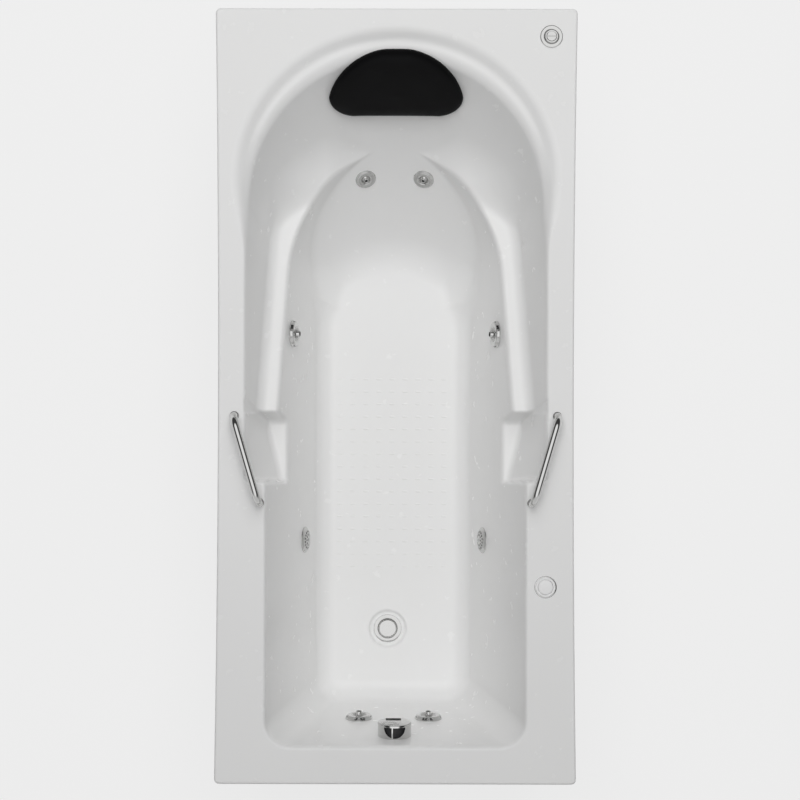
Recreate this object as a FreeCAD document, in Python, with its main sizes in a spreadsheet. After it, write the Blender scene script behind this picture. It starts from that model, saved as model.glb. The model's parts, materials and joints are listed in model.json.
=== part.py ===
import FreeCAD, Part
import math
import os
import re
import Sketcher

V = FreeCAD.Vector
os.makedirs("parts", exist_ok=True)
doc = FreeCAD.newDocument("jetted_bathtub")

# ------------------------------------------------------------------ sizes
# X runs across the tub, Y towards the head end, Z up; the feet stand on Z = 0.
# Lengths are millimetres; drafts, leans and slopes are plain ratios.
driving_sizes = {
    # moulded shell
    "tub_length": 1500, "tub_width": 700, "tub_height": 540, "side_bow": 6,
    "deck_corner": 10, "shell_wall": 5, "lip_drop": 30, "basin_depth": 385,
    # head bowl: a half round outline that leans back towards the deck
    "rim_width": 58, "head_rim": 73, "bowl_draft": 0.26,
    "bowl_lean": 0.70, "bowl_curve": 0.0007,
    # inner well: drafted sides, foot wall and the arcs that shape the armrests
    "armrest_width": 40, "foot_rim": 72, "well_draft": 0.248,
    "well_foot_draft": 0.0875, "well_foot_corner": 50, "well_arc_shift": 77,
    "well_arc_back": 427, "floor_fillet": 42, "crease_fillet": 80,
    # armrests, grip pockets and head crescent
    "arm_end": -30, "arm_end_depth": 82, "arm_slope": 0.2455,
    "pocket_depth": 147, "pocket_end": -172, "pocket_step_run": 20,
    "crescent_rim": 40, "crescent_back": 274, "crescent_depth": 16, "crescent_draft": 5,
    # fitting pads behind the wall, drain dish, common clearances
    "pad_thick": 7, "pad_margin": 10, "fit_gap": 0.3, "thread_gap": 0.15,
    "drain_across": -11, "drain_from_foot": 181, "dish_radius": 39, "dish_depth": 6,
    # jets in the side and foot walls, then the smaller ones in the backrest
    "side_jet_depth": 182, "side_jet_along": 127, "foot_jet_depth": 215,
    "foot_jet_across": 71, "wall_jet_ring_radius": 28, "wall_jet_ring_thick": 8,
    "wall_jet_ball_radius": 13, "wall_jet_ball_sunk": 6, "wall_jet_tube_radius": 7,
    "wall_jet_reach": 15,
    "back_jet_depth": 250, "back_jet_across": 60, "back_jet_ring_radius": 21.5,
    "back_jet_ring_thick": 4, "back_jet_ball_radius": 9.5, "back_jet_ball_sunk": 4.5,
    "back_jet_tube_radius": 5, "back_jet_reach": 7,
    "jet_neck_wall": 3, "jet_nut_thick": 8, "jet_body_length": 32, "jet_body_wall": 4,
    "jet_tube_wall": 1.6, "jet_mouth_room": 1.2, "neck_overlap": 6,
    # suction covers
    "suction_depth": 270, "suction_along": -298, "cover_radius": 27,
    "cover_height": 8, "suction_neck": 20, "suction_body_length": 40,
    # overflow and drain
    "overflow_depth": 85, "overflow_radius": 33, "overflow_length": 28,
    "overflow_neck": 18, "waste_radius": 20, "waste_drop": 70,
    "pipe_wall": 3, "overflow_pipe_radius": 14, "overflow_bend": 40,
    "drain_ring_radius": 30, "drain_throat": 21, "plug_radius": 20,
    # deck controls, placed from the deck's edges
    "air_from_side": 51, "air_from_head": 54, "air_ring_radius": 22, "air_knob_radius": 13,
    "button_from_side": 60, "button_along": -368, "button_ring_radius": 21.5,
    "button_radius": 14.5, "deck_hole_inset": 4,
    # grab handles
    "handle_head_inset": 38, "handle_head_along": -38, "handle_foot_inset": 87,
    "handle_foot_along": -206, "handle_radius": 7.2, "handle_rise": 42,
    "handle_bend": 24, "handle_flange": 9, "handle_stud": 4,
    # pillow
    "pillow_width": 266, "pillow_height": 158, "pillow_thick": 40, "pillow_crown": 12,
    "pillow_depth": 65, "pillow_gap": 0.5, "cup_radius": 17,
    # board, battens, frame and feet
    "board_thick": 12, "board_half_width": 100,
    "tube_size": 30, "tube_wall": 2, "rail_across": 110, "post_inset": 28,
    "batten_width": 18, "batten_thick": 18,
    "foot_pad_radius": 25, "foot_pad_thick": 8, "foot_stem": 6, "foot_thread_up": 14,
    # pump
    "pump_from_head": 110, "pump_above_floor": 78, "volute_radius": 72, "volute_width": 58, "volute_wall": 5, "shaft_radius": 6, "impeller_radius": 55,
    "motor_radius": 62, "motor_length": 190, "bracket_width": 150,
    # pipes
    "feed_radius": 16, "suction_radius": 20, "air_radius": 6, "signal_radius": 2.5,
    "branch_radius": 10,
}
# sizes and places that follow from the ones above
derived_sizes = {
    "bowl_half_width": "tub_width / 2 - rim_width", "bowl_reach": "tub_length / 2 - head_rim",
    "well_half_width": "bowl_half_width - armrest_width", "well_foot": "tub_length / 2 - foot_rim",
    "well_arc_start": "bowl_reach - well_arc_back", "pocket_foot_half": "well_half_width - 30",
    "crescent_radius": "tub_width / 2 - crescent_rim", "crescent_centre": "bowl_reach - crescent_back",
    "drain_along": "drain_from_foot - well_foot",
    "air_across": "tub_width / 2 - air_from_side", "air_along": "tub_length / 2 - air_from_head",
    "button_across": "tub_width / 2 - button_from_side",
    "handle_head_across": "tub_width / 2 - handle_head_inset",
    "handle_foot_across": "tub_width / 2 - handle_foot_inset",
    "board_head": "bowl_reach - 487", "board_foot": "108 - well_foot",
    "rail_reach": "tub_length / 2 - 50", "rail_foot": "tub_length / 2 - 110",
    "post_across": "tub_width / 2 - post_inset", "post_spread": "tub_length / 2 - 150",
    "waste_height": "tub_height - basin_depth - waste_drop", "tail_bottom": "waste_height / 2 - 7.5",
    "tail_top": "waste_height - overflow_pipe_radius - pipe_wall - 4",
    "overflow_pipe_along": "-well_foot - 24", "pump_along": "tub_length / 2 - pump_from_head",
    "pump_height": "tub_height - basin_depth + pump_above_floor",
    "feed_height": "pump_height + 47", "feed_across": "well_half_width + 4", "feed_head": "bowl_reach - 147",
    "suction_height": "pump_height - 58", "suction_across": "bowl_half_width - 27",
    "suction_cross": "bowl_reach - 207", "volute_across": "90 - suction_across",
    "air_height": "tub_height - 190", "air_main_across": "bowl_half_width - 7",
    "air_main_head": "bowl_reach - 117", "air_main_foot": "-well_foot - 47",
    "signal_height": "tub_height - 110",
}
size_cells = dict(driving_sizes)
size_cells.update((alias, "=" + rule) for alias, rule in derived_sizes.items())
sheet = doc.addObject("Spreadsheet::Sheet", "Sizes")
for row, (alias, amount) in enumerate(size_cells.items(), start=1):
    sheet.set(f"A{row}", alias)
    sheet.set(f"B{row}", str(amount))
    sheet.setAlias(f"B{row}", alias)
doc.recompute()


def bound(text):
    """The same expression with each size read from the sheet."""
    def cell(match):
        word = match.group()
        return "Sizes." + word if word in size_cells else word
    return re.sub(r"[a-z_]+", cell, str(text))


def value(text):
    return float(sheet.evalExpression(bound(text)))


def facing(point, direction, across=None):
    """Placement whose local Z points along direction and local X stays across."""
    z_axis = V(direction).normalize()
    if across is None:
        return FreeCAD.Placement(point, FreeCAD.Rotation(V(0, 0, 1), z_axis))
    return FreeCAD.Placement(point, FreeCAD.Rotation(across, V(0, 0, 0), z_axis, "ZXY"))


upright = FreeCAD.Placement()
nodes = []


def node(piece, label, placement=None):
    """Name a finished sub-part; its label is its file's name."""
    piece.Label = label
    if placement is not None:
        piece.Placement = placement
    nodes.append(piece)
    return piece


# ------------------------------------------------------------------ makers
def sketch_outline(body, role, corners, name):
    """Closed straight-sided sketch with every corner held by the sheet."""
    plane = [part for part in body.Origin.OriginFeatures if part.Role == role][0]
    sketch = body.newObject("Sketcher::SketchObject", name)
    sketch.AttachmentSupport = [(plane, "")]
    sketch.MapMode = "FlatFace"
    points = [V(value(across), value(up), 0) for across, up in corners]
    count = len(points)
    for index in range(count):
        sketch.addGeometry(Part.LineSegment(points[index], points[(index + 1) % count]))
    for index in range(count):
        joined = (index + 1) % count
        sketch.addConstraint(Sketcher.Constraint("Coincident", index, 2, joined, 1))
    for index, corner in enumerate(corners):
        for kind, letter, part in (("DistanceX", "x", 0), ("DistanceY", "y", 1)):
            held = Sketcher.Constraint(kind, index, 1, points[index][part])
            number = sketch.addConstraint(held)
            sketch.renameConstraint(number, f"{letter}{index}")
            sketch.setExpression(f"Constraints.{letter}{index}", bound(corner[part]))
    return sketch


def turned(name, corners):
    """Body of revolution about local Z from corners of (radius, height)."""
    body = doc.addObject("PartDesign::Body", name)
    sketch = sketch_outline(body, "XZ_Plane", corners, name + "_profile")
    turn = body.newObject("PartDesign::Revolution", name + "_turn")
    turn.Profile = sketch
    turn.ReferenceAxis = (sketch, ["V_Axis"])
    turn.Angle = 360
    doc.recompute()
    return body


def plate(name, corners, height, role="XY_Plane", both_ways=False):
    """Padded plate from corners in the named plane."""
    body = doc.addObject("PartDesign::Body", name)
    sketch = sketch_outline(body, role, corners, name + "_profile")
    pad = body.newObject("PartDesign::Pad", name + "_pad")
    pad.Profile = sketch
    pad.setExpression("Length", bound(height))
    pad.Midplane = both_ways
    doc.recompute()
    return body


def rod(name, radius, height, placement=upright):
    piece = doc.addObject("Part::Cylinder", name)
    piece.setExpression("Radius", bound(radius))
    piece.setExpression("Height", bound(height))
    piece.Placement = placement
    return piece


def ball(name, radius, placement=upright):
    piece = doc.addObject("Part::Sphere", name)
    piece.setExpression("Radius", bound(radius))
    piece.Placement = placement
    return piece


def block(name, length, width, height, placement=upright):
    piece = doc.addObject("Part::Box", name)
    piece.setExpression("Length", bound(length))
    piece.setExpression("Width", bound(width))
    piece.setExpression("Height", bound(height))
    piece.Placement = placement
    return piece


def hexagon(name, radius, height, placement=upright):
    piece = doc.addObject("Part::Prism", name)
    piece.Polygon = 6
    piece.setExpression("Circumradius", bound(radius))
    piece.setExpression("Height", bound(height))
    piece.Placement = placement
    return piece


def cut(name, base, tool):
    piece = doc.addObject("Part::Cut", name)
    piece.Base = base
    piece.Tool = tool
    doc.recompute()
    return piece


def joined(name, pieces):
    piece = doc.addObject("Part::MultiFuse", name)
    piece.Shapes = pieces
    doc.recompute()
    return piece


def group(name, pieces):
    """Separate solids that share one node."""
    piece = doc.addObject("Part::Compound", name)
    piece.Links = pieces
    doc.recompute()
    return piece


def shaped(name, shape):
    piece = doc.addObject("Part::Feature", name)
    piece.Shape = shape
    return piece


def at(across, along, up):
    return V(value(across), value(along), value(up))


def cylinder_between(start, end, radius):
    way = end - start
    return Part.makeCylinder(radius, way.Length, start, way)


# ------------------------------------------------------------------ tub walls
deck_top = value("tub_height")
head_end = value("tub_length / 2")
above_deck = 20


def bowl_reach_at(depth):
    return value("bowl_reach") - value("bowl_lean") * depth - value("bowl_curve") * depth ** 2


def bowl_half_at(depth):
    return value("bowl_half_width") - value("bowl_draft") * depth


def arc_points(centre, radius, start, end, height):
    """Start, middle and end of an arc whose angles are in degrees."""
    points = []
    for degrees in (start, (start + end) / 2, end):
        turn = math.radians(degrees)
        points.append(V(centre[0] + radius * math.cos(turn), centre[1] + radius * math.sin(turn), height))
    return points


def closed_wire(edges):
    return Part.Wire([edge.toShape() for edge in edges])


def bowl_outline(depth, grow):
    """Half round head and straight sides at one depth below the deck."""
    side_grow = grow * math.hypot(1, value("bowl_draft"))
    lean = value("bowl_lean") + 2 * value("bowl_curve") * depth
    half = bowl_half_at(depth) + side_grow
    reach = bowl_reach_at(depth) + grow * math.hypot(1, lean)
    centre = (0, reach - half)
    height = deck_top - depth
    foot = -head_end - above_deck
    right = arc_points(centre, half, 0, 90, height)
    left = arc_points(centre, half, 90, 180, height)
    return closed_wire([
        Part.Arc(*right),
        Part.Arc(*left),
        Part.LineSegment(left[2], V(-half, foot, height)),
        Part.LineSegment(V(-half, foot, height), V(half, foot, height)),
        Part.LineSegment(V(half, foot, height), right[0]),
    ])


def bowl(grow):
    floor_depth = value("basin_depth") + grow
    depths = [-above_deck, floor_depth * 0.31, value("back_jet_depth"), floor_depth]
    return Part.makeLoft([bowl_outline(depth, grow) for depth in depths], True, False)


def well_outline(depth, grow):
    """Inner well: side walls, foot corners and the arcs that close over the head."""
    half = value("well_half_width") - value("well_draft") * depth + grow * math.hypot(1, value("well_draft"))
    shift = value("well_arc_shift")
    start = value("well_arc_start")
    radius = half + shift
    foot = -value("well_foot") + value("well_foot_draft") * depth - grow
    corner = value("well_foot_corner") + grow
    height = deck_top - depth
    meet = math.degrees(math.acos(shift / radius))
    left = arc_points((shift, start), radius, 180, 180 - meet, height)
    right = arc_points((-shift, start), radius, meet, 0, height)
    left_foot = arc_points((corner - half, foot + corner), corner, 270, 180, height)
    right_foot = arc_points((half - corner, foot + corner), corner, 360, 270, height)
    return closed_wire([
        Part.Arc(*left),
        Part.Arc(*right),
        Part.LineSegment(right[2], right_foot[0]),
        Part.Arc(*right_foot),
        Part.LineSegment(right_foot[2], left_foot[0]),
        Part.Arc(*left_foot),
        Part.LineSegment(left_foot[2], left[0]),
    ])


def well(grow):
    below = value("basin_depth") + 60
    return Part.makeLoft([well_outline(-above_deck, grow), well_outline(below, grow)], True, True)


def arm_room(grow):
    """Everything above the sloping armrest tops."""
    wide = value("tub_width")
    start = value("arm_end") - grow
    top = deck_top + above_deck
    low = deck_top - value("arm_end_depth") - grow * math.hypot(1, value("arm_slope"))
    far = head_end + above_deck
    drop = value("arm_slope") * (far - start)
    side_view = Part.makePolygon([
        V(-wide, start, top), V(-wide, start, low), V(-wide, far, low - drop),
        V(-wide, far, top), V(-wide, start, top),
    ])
    return Part.Face(side_view).extrude(V(2 * wide, 0, 0))


def pocket_outline(depth, side, grow):
    """Grip pocket: its outer wall sweeps inwards as it goes down to the foot end."""
    share = depth / value("pocket_depth")
    step = value("pocket_step_run") / (value("pocket_depth") - value("arm_end_depth"))
    head = value("arm_end") - step * (depth - value("arm_end_depth")) + grow
    outer = value("bowl_half_width") + 2
    outer_head = outer - 35 * share + grow
    outer_foot = outer + (value("pocket_foot_half") - outer) * share + grow
    foot_outer = value("pocket_end") + 12 * (1 - share) - grow
    foot_inner = value("pocket_end") + 2 * (1 - share) - grow
    inner = value("well_half_width") - 0.42 * value("pocket_depth")
    height = deck_top - depth
    corners = [
        V(side * outer_head, head, height), V(side * outer_foot, foot_outer, height),
        V(side * inner, foot_inner, height), V(side * inner, head, height),
    ]
    return Part.makePolygon(corners + corners[:1])


def pocket_room(side, grow):
    deep = value("pocket_depth") + grow
    return Part.makeLoft(
        [pocket_outline(-above_deck, side, grow), pocket_outline(deep, side, grow)], True, True)


def crescent_room(grow):
    """Shallow round ledge between the deck and the top of the backrest."""
    radius = value("crescent_radius") + grow
    low = value("crescent_depth") + grow
    draft = value("crescent_draft")
    rise = low + above_deck
    flare = draft * rise / value("crescent_depth")
    base = V(0, value("crescent_centre"), deck_top - low)
    return Part.makeCone(radius - draft, radius - draft + flare, rise, base, V(0, 0, 1))


def edges_within(shape, across, along, depth):
    """Edges whose boxes lie between the limits; across is taken on either side."""
    found = []
    for edge in shape.Edges:
        box = edge.BoundBox
        middle = abs(edge.CenterOfMass.x)
        if not across[0] <= middle <= across[1]:
            continue
        if box.YMin < along[0] or box.YMax > along[1]:
            continue
        if deck_top - box.ZMax < depth[0] or deck_top - box.ZMin > depth[1]:
            continue
        found.append(edge)
    return found


def basin(grow):
    """Room inside the tub, or its outer skin when grown by the wall."""
    floor = value("basin_depth") + grow
    tools = [arm_room(grow), pocket_room(-1, grow), pocket_room(1, grow)]
    room = bowl(grow).common(well(grow).fuse(tools)).removeSplitter().Solids[0]
    arm_low = value("arm_end_depth") + value("arm_slope") * (value("well_arc_start") - value("arm_end"))
    reach = (value("well_arc_start") - 120, value("bowl_reach"))
    creases = edges_within(room, (20, value("well_half_width")), reach, (arm_low + 20, floor + 1))
    creases = [edge for edge in creases if deck_top - edge.BoundBox.ZMax < floor - 1]
    room = room.makeFillet(value("crease_fillet") + grow, creases).Solids[0]
    whole = (-head_end, head_end)
    floor_edges = edges_within(room, (0, head_end), whole, (floor - 0.1, floor + 0.1))
    room = room.makeFillet(value("floor_fillet") + grow, floor_edges).Solids[0]
    return room.fuse(crescent_room(grow)).removeSplitter().Solids[0]


def deck_outline(inset, height):
    """Deck edge with small corners; the long sides draw in a little midway."""
    half = value("tub_width / 2") - inset
    reach = head_end - inset
    corner = value("deck_corner") - min(inset, value("shell_wall"))
    waist = half - value("side_bow")
    corners = [(half, reach, 0), (-half, reach, 90), (-half, -reach, 180), (half, -reach, 270)]
    arcs = []
    for across, along, start in corners:
        centre = (across - math.copysign(corner, across), along - math.copysign(corner, along))
        arcs.append(arc_points(centre, corner, start, start + 90, height))
    return closed_wire([
        Part.Arc(*arcs[0]),
        Part.LineSegment(arcs[0][2], arcs[1][0]),
        Part.Arc(*arcs[1]),
        Part.Arc(arcs[1][2], V(-waist, 0, height), arcs[2][0]),
        Part.Arc(*arcs[2]),
        Part.LineSegment(arcs[2][2], arcs[3][0]),
        Part.Arc(*arcs[3]),
        Part.Arc(arcs[3][2], V(waist, 0, height), arcs[0][0]),
    ])


def slab(inset, low, high):
    return Part.Face(deck_outline(inset, low)).extrude(V(0, 0, high - low))


# ------------------------------------------------------------------ places on the walls
def side_wall_place(side, along, depth):
    """Placement on a side wall, local Z into the basin."""
    lean = value("well_draft")
    point = V(side * (value("well_half_width") - lean * depth), along, deck_top - depth)
    return facing(point, V(-side, 0, lean), V(0, 1, 0))


def foot_wall_place(across, depth):
    lean = value("well_foot_draft")
    point = V(across, -value("well_foot") + lean * depth, deck_top - depth)
    return facing(point, V(0, 1, lean), V(1, 0, 0))


def back_place(across, depth):
    """Placement on the backrest, from the bowl's own outline."""
    def along(offset, deep):
        half = bowl_half_at(deep)
        return bowl_reach_at(deep) - half + math.sqrt(half ** 2 - offset ** 2)
    step = 0.5
    slide = (along(across + step, depth) - along(across - step, depth)) / (2 * step)
    fall = (along(across, depth + step) - along(across, depth - step)) / (2 * step)
    normal = V(slide, -1, -fall)
    return facing(V(across, along(across, depth), deck_top - depth), normal, V(1, 0, 0))


jet_places = {
    "side_left": ("wall_jet", side_wall_place(-1, value("side_jet_along"), value("side_jet_depth"))),
    "side_right": ("wall_jet", side_wall_place(1, value("side_jet_along"), value("side_jet_depth"))),
    "foot_left": ("wall_jet", foot_wall_place(-value("foot_jet_across"), value("foot_jet_depth"))),
    "foot_right": ("wall_jet", foot_wall_place(value("foot_jet_across"), value("foot_jet_depth"))),
    "back_left": ("back_jet", back_place(-value("back_jet_across"), value("back_jet_depth"))),
    "back_right": ("back_jet", back_place(value("back_jet_across"), value("back_jet_depth"))),
}
suction_places = {
    "left": side_wall_place(-1, value("suction_along"), value("suction_depth")),
    "right": side_wall_place(1, value("suction_along"), value("suction_depth")),
}
overflow_place = foot_wall_place(0, value("overflow_depth"))
cap_place = overflow_place.multiply(FreeCAD.Placement(V(0, 0, 0), FreeCAD.Rotation(V(0, 0, 1), 180)))
floor_top = deck_top - value("basin_depth")
dish_top = floor_top - value("dish_depth")
drain_place = FreeCAD.Placement(at("drain_across", "drain_along", dish_top), FreeCAD.Rotation())
deck_places = {
    "air": FreeCAD.Placement(at("air_across", "air_along", deck_top), FreeCAD.Rotation()),
    "button": FreeCAD.Placement(at("button_across", "button_along", deck_top), FreeCAD.Rotation()),
}
handle_ends = {
    side: [
        at(f"{side} * handle_head_across", "handle_head_along", deck_top),
        at(f"{side} * handle_foot_across", "handle_foot_along", deck_top),
    ]
    for side in (-1, 1)
}


def neck_radius(kind):
    return f"{kind}_ball_radius + fit_gap + jet_neck_wall"


# holes through the shell: placement, hole radius, pad radius, seat radius
holes = []
for kind, place in jet_places.values():
    neck = value(neck_radius(kind))
    holes.append((place, neck + 0.4, neck + value("pad_margin"), value(f"{kind}_ring_radius") + 1))
for place in suction_places.values():
    holes.append((place, value("suction_neck") + 0.4, value("cover_radius") + 3, value("cover_radius") + 1))
holes.append((overflow_place, value("overflow_neck") + 0.4,
              value("overflow_radius") + 3, value("overflow_radius") + 1))


def local_rod(place, radius, low, high):
    axis = place.Rotation.multVec(V(0, 0, 1))
    return Part.makeCylinder(radius, high - low, place.Base + axis * low, axis)


# ------------------------------------------------------------------ shell
def tub_shell_shape():
    wall = value("shell_wall")
    pad = value("pad_thick")
    deck = slab(0, deck_top - value("lip_drop"), deck_top)
    deck = deck.cut(slab(wall, deck_top - value("lip_drop") - 1, deck_top - wall))
    skin = basin(wall)
    below_deck = slab(0, floor_top - 100, deck_top)
    skin = skin.common(below_deck)
    pads = [local_rod(place, pad_radius, -pad, -1) for place, _, pad_radius, _ in holes]
    dish_pad = value("dish_radius") + wall
    pads.append(local_rod(drain_place, dish_pad, -wall, value("dish_depth") - 1))
    shell = deck.fuse([skin] + pads)
    room = basin(0)
    bores = [local_rod(place, hole, -pad - 5, 5) for place, hole, _, _ in holes]
    bores += [local_rod(place, seat, 0, 5) for place, _, _, seat in holes]
    bores.append(local_rod(drain_place, value("dish_radius"), 0, value("dish_depth") + 1))
    bores.append(local_rod(drain_place, value("drain_throat") + 2.4, -wall - 5, 1))
    for name in ("air", "button"):
        bores.append(local_rod(deck_places[name], value(f"{name}_ring_radius - deck_hole_inset"), -wall - 5, 5))
    for ends in handle_ends.values():
        for end in ends:
            bores.append(Part.makeCylinder(value("handle_stud") + 0.3, wall + 10, end - V(0, 0, wall + 5)))
    return shell.cut([room] + bores).removeSplitter()


tub_shell = node(shaped("tub_shell", tub_shell_shape()), "tub_shell")


# ------------------------------------------------------------------ jets
def make_jet(name, kind, place):
    """Face ring with its threaded neck, swivelling ball nozzle, nut and body."""
    throat = f"{kind}_ball_radius + fit_gap"
    neck = neck_radius(kind)
    neck_end = "-(pad_thick + jet_nut_thick + neck_overlap)"
    sunk = f"-{kind}_ball_sunk"
    mouth = f"{kind}_tube_radius + {kind}_ball_sunk * 0.27 + jet_mouth_room"
    ring_thick = f"{kind}_ring_thick"
    ring = turned(f"{name}_ring_turned", [
        (throat, neck_end), (neck, neck_end), (neck, 0), (f"{kind}_ring_radius", 0),
        (f"{kind}_ring_radius", f"{ring_thick} * 0.25"),
        (f"{kind}_ring_radius - {ring_thick} * 0.5", ring_thick),
        (f"{mouth} + {ring_thick} * 0.6", ring_thick), (mouth, 0), (mouth, sunk), (throat, sunk),
    ])
    seat = ball(f"{name}_seat", throat)
    seat.setExpression("Placement.Base.z", bound(sunk))
    node(cut(f"{name}_ring", ring, seat), f"jet_ring_{name}", place)

    eye = ball(f"{name}_eye", f"{kind}_ball_radius")
    eye.Angle1 = -45
    eye.setExpression("Placement.Base.z", bound(sunk))
    spout = rod(f"{name}_spout", f"{kind}_tube_radius", f"{kind}_reach + {kind}_ball_sunk")
    spout.setExpression("Placement.Base.z", bound(sunk))
    bore = rod(f"{name}_bore", f"{kind}_tube_radius - jet_tube_wall",
               f"{kind}_reach + {kind}_ball_radius * 3")
    bore.setExpression("Placement.Base.z", bound(f"-{kind}_ball_radius * 2"))
    whole = joined(f"{name}_eye_and_spout", [eye, spout])
    node(cut(f"{name}_nozzle", whole, bore), f"jet_nozzle_{name}", place)

    nut = hexagon(f"{name}_nut_blank", f"{neck} + 8", "jet_nut_thick")
    nut_bore = rod(f"{name}_nut_bore", f"{neck} + thread_gap", "jet_nut_thick")
    nut_drop = facing(V(0, 0, -value("pad_thick + jet_nut_thick")), V(0, 0, 1))
    nut_piece = cut(f"{name}_nut", nut, nut_bore)
    nut_piece.Placement = place.multiply(nut_drop)

    top = "-(pad_thick + jet_nut_thick)"
    bottom = f"{top} - jet_body_length"
    outer = f"{neck} + jet_body_wall"
    body = turned(f"{name}_body", [
        (f"{neck} + thread_gap", top), (outer, top), (outer, bottom), (0, bottom),
        (0, f"{bottom} + 3"), (throat, f"{bottom} + 3"), (throat, neck_end),
        (f"{neck} + thread_gap", neck_end),
    ])
    body.Placement = place
    return nut_piece, body


jet_backs = [make_jet(name, kind, place) for name, (kind, place) in jet_places.items()]
node(group("jet_nuts", [nut for nut, _ in jet_backs]), "jet_lock_nuts")
node(group("jet_bodies_set", [body for _, body in jet_backs]), "jet_bodies")


def jet_axis_point(name, below):
    """Point on a jet's axis at a distance behind the wall face."""
    place = jet_places[name][1]
    return place.multVec(V(0, 0, -below))


# ------------------------------------------------------------------ suction covers
def make_suction(side, place):
    """Domed cover with a ring of holes, body behind the wall, screw on its axis."""
    body = turned(f"cover_{side}", [
        (2.7, "cover_height - 2"), (2.7, "cover_height"), ("cover_radius * 0.45", "cover_height - 0.6"),
        ("cover_radius * 0.85", "cover_height * 0.55"), ("cover_radius", 1.5), ("cover_radius", 0),
        ("cover_radius - 2.2", 0), ("cover_radius * 0.8", "cover_height * 0.55 - 2"),
        ("cover_radius * 0.42", "cover_height - 2.6"),
    ])
    for ring, (share, count) in enumerate(((0.6, 12), (0.36, 8))):
        sketch = body.newObject("Sketcher::SketchObject", f"cover_{side}_hole_{ring}")
        plane = [part for part in body.Origin.OriginFeatures if part.Role == "XY_Plane"][0]
        sketch.AttachmentSupport = [(plane, "")]
        sketch.MapMode = "FlatFace"
        reach = value("cover_radius") * share
        sketch.addGeometry(Part.Circle(V(reach, 0, 0), V(0, 0, 1), 2))
        for label, held, amount in (
                ("across", Sketcher.Constraint("DistanceX", 0, 3, reach), f"cover_radius * {share}"),
                ("wide", Sketcher.Constraint("Radius", 0, 2), "2")):
            number = sketch.addConstraint(held)
            sketch.renameConstraint(number, label)
            sketch.setExpression(f"Constraints.{label}", bound(amount))
        sketch.addConstraint(Sketcher.Constraint("PointOnObject", 0, 3, -1))
        doc.recompute()
        before = body.Shape.Volume
        pocket = body.newObject("PartDesign::Pocket", f"cover_{side}_bore_{ring}")
        pocket.Profile = sketch
        pocket.Type = "ThroughAll"
        pocket.Reversed = True
        doc.recompute()
        pattern = body.newObject("PartDesign::PolarPattern", f"cover_{side}_holes_{ring}")
        pattern.Originals = [pocket]
        pattern.Axis = (sketch, ["N_Axis"])
        pattern.Angle = 360
        pattern.Occurrences = count
        body.Tip = pattern
        doc.recompute()
        assert body.Shape.Volume < before, "the cover's holes cut nothing"
    node(body, f"suction_cover_{side}", place)

    bottom = "-pad_thick - suction_body_length"
    cup = turned(f"suction_body_{side}", [
        (2.7, "cover_height - 2.3"), (5, "cover_height - 2.3"), (5, f"{bottom} + 3"),
        ("suction_neck - 2.5", f"{bottom} + 3"), ("suction_neck - 2.5", 0), ("suction_neck", 0),
        ("suction_neck", "-pad_thick"), ("suction_neck + 7", "-pad_thick"),
        ("suction_neck + 7", "-pad_thick - 8"), ("suction_neck + 3", "-pad_thick - 8"),
        ("suction_neck + 3", bottom), (0, bottom), (0, -4), (2.7, -4),
    ])
    cup.Placement = place

    screw = turned(f"suction_screw_{side}", [
        (0, -3.5), (2.5, -3.5), (2.5, "cover_height"), (5, "cover_height"),
        (4, "cover_height + 1.6"), (0, "cover_height + 2"),
    ])
    screw.Placement = place
    return cup, screw


suction_backs = [make_suction(side, place) for side, place in suction_places.items()]
node(group("suction_bodies_set", [cup for cup, _ in suction_backs]), "suction_bodies")
node(group("cover_screws", [screw for _, screw in suction_backs]), "suction_cover_screws")


# ------------------------------------------------------------------ overflow and drain
cap_blank = turned("overflow_cap_blank", [
    ("overflow_neck + 2", 0), ("overflow_radius", 0), ("overflow_radius", "overflow_length - 2"),
    ("overflow_radius - 2", "overflow_length"), (0, "overflow_length"),
    (0, "overflow_length - 3"), ("overflow_radius - 3", "overflow_length - 3"),
    ("overflow_radius - 3", 3), ("overflow_neck + 2", 3),
])
# half round inlet with one rib on the upper side, oblong inlet low in the face; local Y points up
inlet_round = rod("overflow_inlet_round", 21, "overflow_radius",
                  facing(V(0, value("overflow_radius") * 0.35, value("overflow_length - 5")), V(0, 1, 0)))
inlet_keep = block("overflow_inlet_top", 60, "overflow_radius", 30,
                   FreeCAD.Placement(V(-30, 0, value("overflow_length - 5")), FreeCAD.Rotation()))
inlet_rib = block("overflow_inlet_rib", 3, "overflow_radius", 60,
                  FreeCAD.Placement(V(1.5, 0, -30), FreeCAD.Rotation()))
inlet = cut("overflow_inlet", cut("overflow_half", inlet_round, inlet_keep), inlet_rib)
slot = block("overflow_slot", 32, 15, 10,
             FreeCAD.Placement(V(-16, value("-overflow_radius") * 0.72, value("overflow_length - 6")),
                               FreeCAD.Rotation()))
cap = cut("overflow_cap", cut("overflow_cap_upper", cap_blank, inlet), slot)
node(cap, "overflow_cap", cap_place)

overflow_body = turned("overflow_body", [
    ("overflow_neck - 3", "-pad_thick - 30"), ("overflow_neck - 3", 2.7), ("overflow_neck", 2.7),
    ("overflow_neck", "-pad_thick"), ("overflow_neck + 8", "-pad_thick"),
    ("overflow_neck + 8", "-pad_thick - 5"), ("overflow_neck", "-pad_thick - 5"),
    ("overflow_neck", "-pad_thick - 33"), (0, "-pad_thick - 33"), (0, "-pad_thick - 30"),
])

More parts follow.
